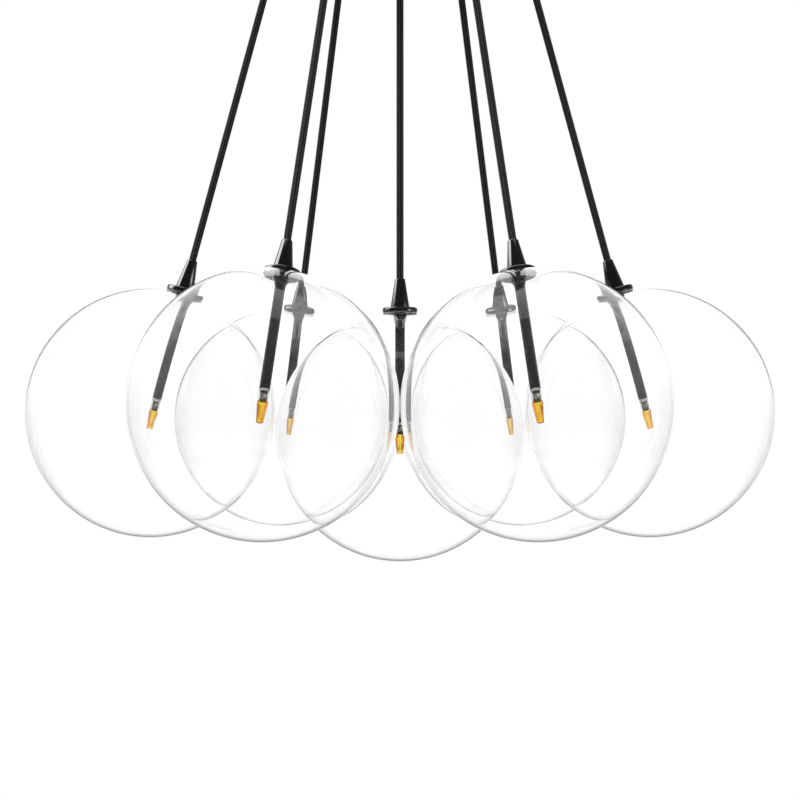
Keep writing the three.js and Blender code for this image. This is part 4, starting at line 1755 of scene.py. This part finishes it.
@dataclass(frozen=True)
class Studio:
    """The camera, the white surroundings, the lights and the floor.

    Attributes:
        camera_place: Where the camera stands.
        pitch: How far it looks up, in degrees.
        lens: Its focal length in millimetres on a 36 mm sensor.
        bounces: How many layers of glass a ray may pass.
        mirrorings: How often it may be mirrored.
        ambient: Brightness of the surroundings for plain light.
        screen: The white screen behind the object, as it is seen through glass.
        spill: How much whiter than in a reflection the surroundings are through glass.
        sheen: What glass reflects, from front to back, as stops of a ramp.
        gaps: The darker parts of the studio that glass reflects, and the ceiling light.
        metal: What metal reflects, from front to back, as stops of a ramp.
        boxes: The soft boxes that metal reflects.
        panels: The lamps that give plain light.
        floor_height: The floor's height.
        floor_size: The floor's length and width.
        floor_tone: Its tone.
        floor_glow: How much it adds to the light where it is looked at, so that it is white.
        floor_roughness: How dull it is.
        dim: Its tone to dull surfaces and metal, so that it doesn't light the object from below.
        pool_place: Middle of the pool of light on the floor that glass reflects.
        pool_radius: Its radius.
        pool_edge: Width of its soft edge.
        pool_glow: Its brightness.
    """

    camera_place: Place = (0.0, -2.245, -0.5675)
    pitch: float = 2.31
    lens: float = 100.5
    bounces: int = 48
    mirrorings: int = 8
    ambient: float = 0.75
    screen: Patch = Patch((-0.5, 0.3, -0.16), (0.5, 1.1, 0.95), 1.12, 0.02)
    spill: float = 0.22
    sheen: Levels = ((0.0, 0.15), (0.4, 0.2), (0.56, 0.95), (0.65, 1.05), (1.0, 1.1))
    gaps: tuple[Patch, ...] = (
        Patch((-1.1, -0.3, -0.2), (-0.2, 0.98, 0.06), 0.28, 0.06, fade=0.08),
        Patch((0.2, -0.3, -0.2), (1.1, 0.98, 0.06), 0.28, 0.06, fade=0.08),
        Patch((-0.42, 0.3, 0.07), (-0.12, 1.1, 0.33), 0.0, 0.03),
        Patch((0.12, 0.3, 0.07), (0.42, 1.1, 0.33), 0.0, 0.03),
        Patch((-1.1, 0.3, -0.46), (1.1, 1.1, -0.13), 0.25, 0.02),
        Patch((-1.1, -1.1, 0.72), (1.1, 1.1, 1.1), 0.3, 0.06),
        Patch((-0.7, -0.25, 0.55), (0.7, 0.45, 1.1), 1.9, 0.02),
    )
    metal: Levels = ((0.0, 0.08), (0.5, 0.1), (0.8, 0.25), (0.98, 0.3), (0.992, 1.0))
    boxes: tuple[Patch, ...] = (
        Patch((-0.4, -0.46, 0.82), (0.4, 0.36, 1.1), 1.9),
        Patch((-1.1, -0.22, 0.2), (-0.3, 0.5, 0.95), 6.5, fade=0.12),
        Patch((0.3, -0.58, -0.45), (1.1, -0.06, 0.06), 5.0, fade=0.09),
    )
    panels: tuple[Panel, ...] = (
        Panel("overhead_panel", (0.0, 0.1, 1.6), (0.0, -0.1, -0.5), (1.6, 1.2), 8.0),
        Panel("left_panel", (-2.2, 0.1, -0.3), (0.0, 0.0, -0.45), (1.6, 2.4), 12.0),
    )
    floor_height: float = -2.4
    floor_size: float = 7.0
    floor_tone: float = 0.82
    floor_glow: float = 0.45
    floor_roughness: float = 0.8
    dim: float = 0.08
    pool_place: tuple[float, float] = (0.0, -0.6)
    pool_radius: float = 1.3
    pool_edge: float = 0.4
    pool_glow: float = 1.5

    def place_camera(self) -> None:
        """Makes the camera at the photograph's viewpoint."""
        lens = bpy.data.cameras.new("viewpoint")
        lens.sensor_width = 36.0
        lens.lens = self.lens
        lens.clip_end = 60.0
        made = bpy.data.objects.new("viewpoint", lens)
        made.location = self.camera_place
        made.rotation_euler = (math.radians(90.0 + self.pitch), 0.0, 0.0)
        bpy.context.scene.collection.objects.link(made)
        bpy.context.scene.camera = made

    def light(self) -> None:
        """Sets the surroundings, the lights, the floor and the number of bounces."""
        scene = bpy.context.scene
        scene.view_settings.view_transform = "Standard"
        for kind in ("max_bounces", "transmission_bounces", "transparent_max_bounces"):
            setattr(scene.cycles, kind, self.bounces)
        scene.cycles.glossy_bounces = self.mirrorings
        self.surroundings()
        for panel in self.panels:
            panel.build()
        self.floor()

    def surroundings(self) -> None:
        """Makes the world: white to the camera, and a studio with brighter and darker patches to gloss.

        Seen straight through glass, it is as white as the screen. Seen through glass in a mirroring, it is
        what glass reflects, a little whiter, with the screen behind the object.
        """
        world = bpy.data.worlds.new("studio")
        bpy.context.scene.world = world
        world.use_nodes = True
        wiring = Wiring(world.node_tree)
        rays = wiring.node("ShaderNodeLightPath").outputs
        way = wiring.node("ShaderNodeTexCoord").outputs["Generated"]
        axes = wiring.node("ShaderNodeSeparateXYZ", {0: way}).outputs
        depth = wiring.maths("MULTIPLY_ADD", axes[1], 0.5, 0.5)
        metal, sheen = wiring.greys(depth, self.metal), wiring.greys(depth, self.sheen)
        for box in self.boxes:
            metal = box.over(wiring, axes, metal)
        for gap in self.gaps:
            sheen = gap.over(wiring, axes, sheen)
        mirrored = wiring.maths("MINIMUM", rays[Ray.MIRRORED.value], 1.0)
        behind = self.screen.over(wiring, axes, wiring.blend(self.spill, sheen, grey(1.0)))
        behind = wiring.blend(mirrored, grey(self.screen.level), behind)
        gloss = wiring.blend(rays[Ray.SINGULAR.value], metal, sheen)
        colour = wiring.blend(rays[Ray.GLOSSY.value], grey(self.ambient), gloss)
        colour = wiring.blend(rays[Ray.TRANSMISSION.value], colour, behind)
        colour = wiring.blend(rays[Ray.CAMERA.value], colour, grey(1.0))
        shader = wiring.node("ShaderNodeBackground", {"Color": colour})
        wiring.node("ShaderNodeOutputWorld", {"Surface": shader.outputs["Background"]})

    def floor(self) -> None:
        """Makes the plain pale floor, white to the camera and through glass, with a pool of light."""
        mesh = bpy.data.meshes.new("floor")
        shape = Shape()
        bmesh.ops.create_grid(shape.bm, x_segments=8, y_segments=8, size=self.floor_size / 2)
        shape.shifted(0.0, 0.0, self.floor_height).bm.to_mesh(mesh)
        shape.bm.free()
        material = bpy.data.materials.new("pale_floor")
        material.use_nodes = True
        self.whiten(Wiring(material.node_tree))
        mesh.materials.append(material)
        made = bpy.data.objects.new("floor", mesh)
        bpy.context.scene.collection.objects.link(made)
        LOG.info("floor lies under the chandelier")

    def whiten(self, wiring: Wiring) -> None:
        """Wires the floor's tone and its glow.

        A straight look at it, or through glass, adds the glow. A mirrored one has the pool of light instead.

        Args:
            wiring: The floor material's nodes.
        """
        rays = wiring.node("ShaderNodeLightPath").outputs
        seen = wiring.maths("MAXIMUM", rays[Ray.CAMERA.value], rays[Ray.SINGULAR.value])
        straight = wiring.maths("LESS_THAN", rays[Ray.MIRRORED.value], 0.5)
        glow = wiring.maths("MULTIPLY", wiring.maths("MULTIPLY", seen, self.floor_glow), straight)
        spot = wiring.node("ShaderNodeTexCoord").outputs["Object"]
        ends = {0: spot, 1: (*self.pool_place, self.floor_height)}
        reach = wiring.node("ShaderNodeVectorMath", ends, operation="DISTANCE").outputs["Value"]
        edge = self.pool_radius + self.pool_edge
        pool = wiring.spread({"Value": reach, "From Min": edge, "From Max": self.pool_radius})
        mirrored = wiring.maths("GREATER_THAN", rays[Ray.SINGULAR.value], straight)
        lit = wiring.maths("MULTIPLY", pool, mirrored)
        shader = wiring.shader(
            {
                "Base Color": wiring.blend(seen, grey(self.dim), grey(self.floor_tone)),
                "Roughness": self.floor_roughness,
                "Emission Color": grey(1.0),
                "Emission Strength": wiring.maths("MULTIPLY_ADD", lit, self.pool_glow, glow),
            }
        )
        wiring.node("ShaderNodeOutputMaterial", {"Surface": shader})


@dataclass(frozen=True)
class Pendant:
    """One hanging globe.

    Attributes:
        cord: Its cord.
        fitting: Its cap, flange and stem.
        globe: Its glass.
        clamp: The clamp that holds the glass.
        lamp: Its lampholder and lamp.
    """

    cord: BraidedCord = BraidedCord()
    fitting: Fitting = Fitting()
    globe: Globe = Globe()
    clamp: Clamp = Clamp()
    lamp: Lamp = Lamp()

    def build(self, hanger: Hanger) -> None:
        """Makes everything of one pendant but its cord."""
        for part in (self.fitting, self.globe, self.clamp, self.lamp):
            part.build(hanger)


def main() -> None:
    """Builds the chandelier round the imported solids."""
    logging.basicConfig(level=logging.INFO, format="%(message)s")
    for leftover in list(bpy.data.objects):
        bpy.data.objects.remove(leftover)
    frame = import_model()
    cluster = Cluster()
    studio = Studio()
    pendant = Pendant()
    studio.place_camera()
    hangers = cluster.hangers()
    for hanger in hangers:
        pendant.cord.build(hanger)
    for hanger in hangers:
        pendant.build(hanger)
    Canopy().build()
    CeilingFittings().build(frame["nodes"])
    studio.light()


if __name__ == "__main__":
    main()
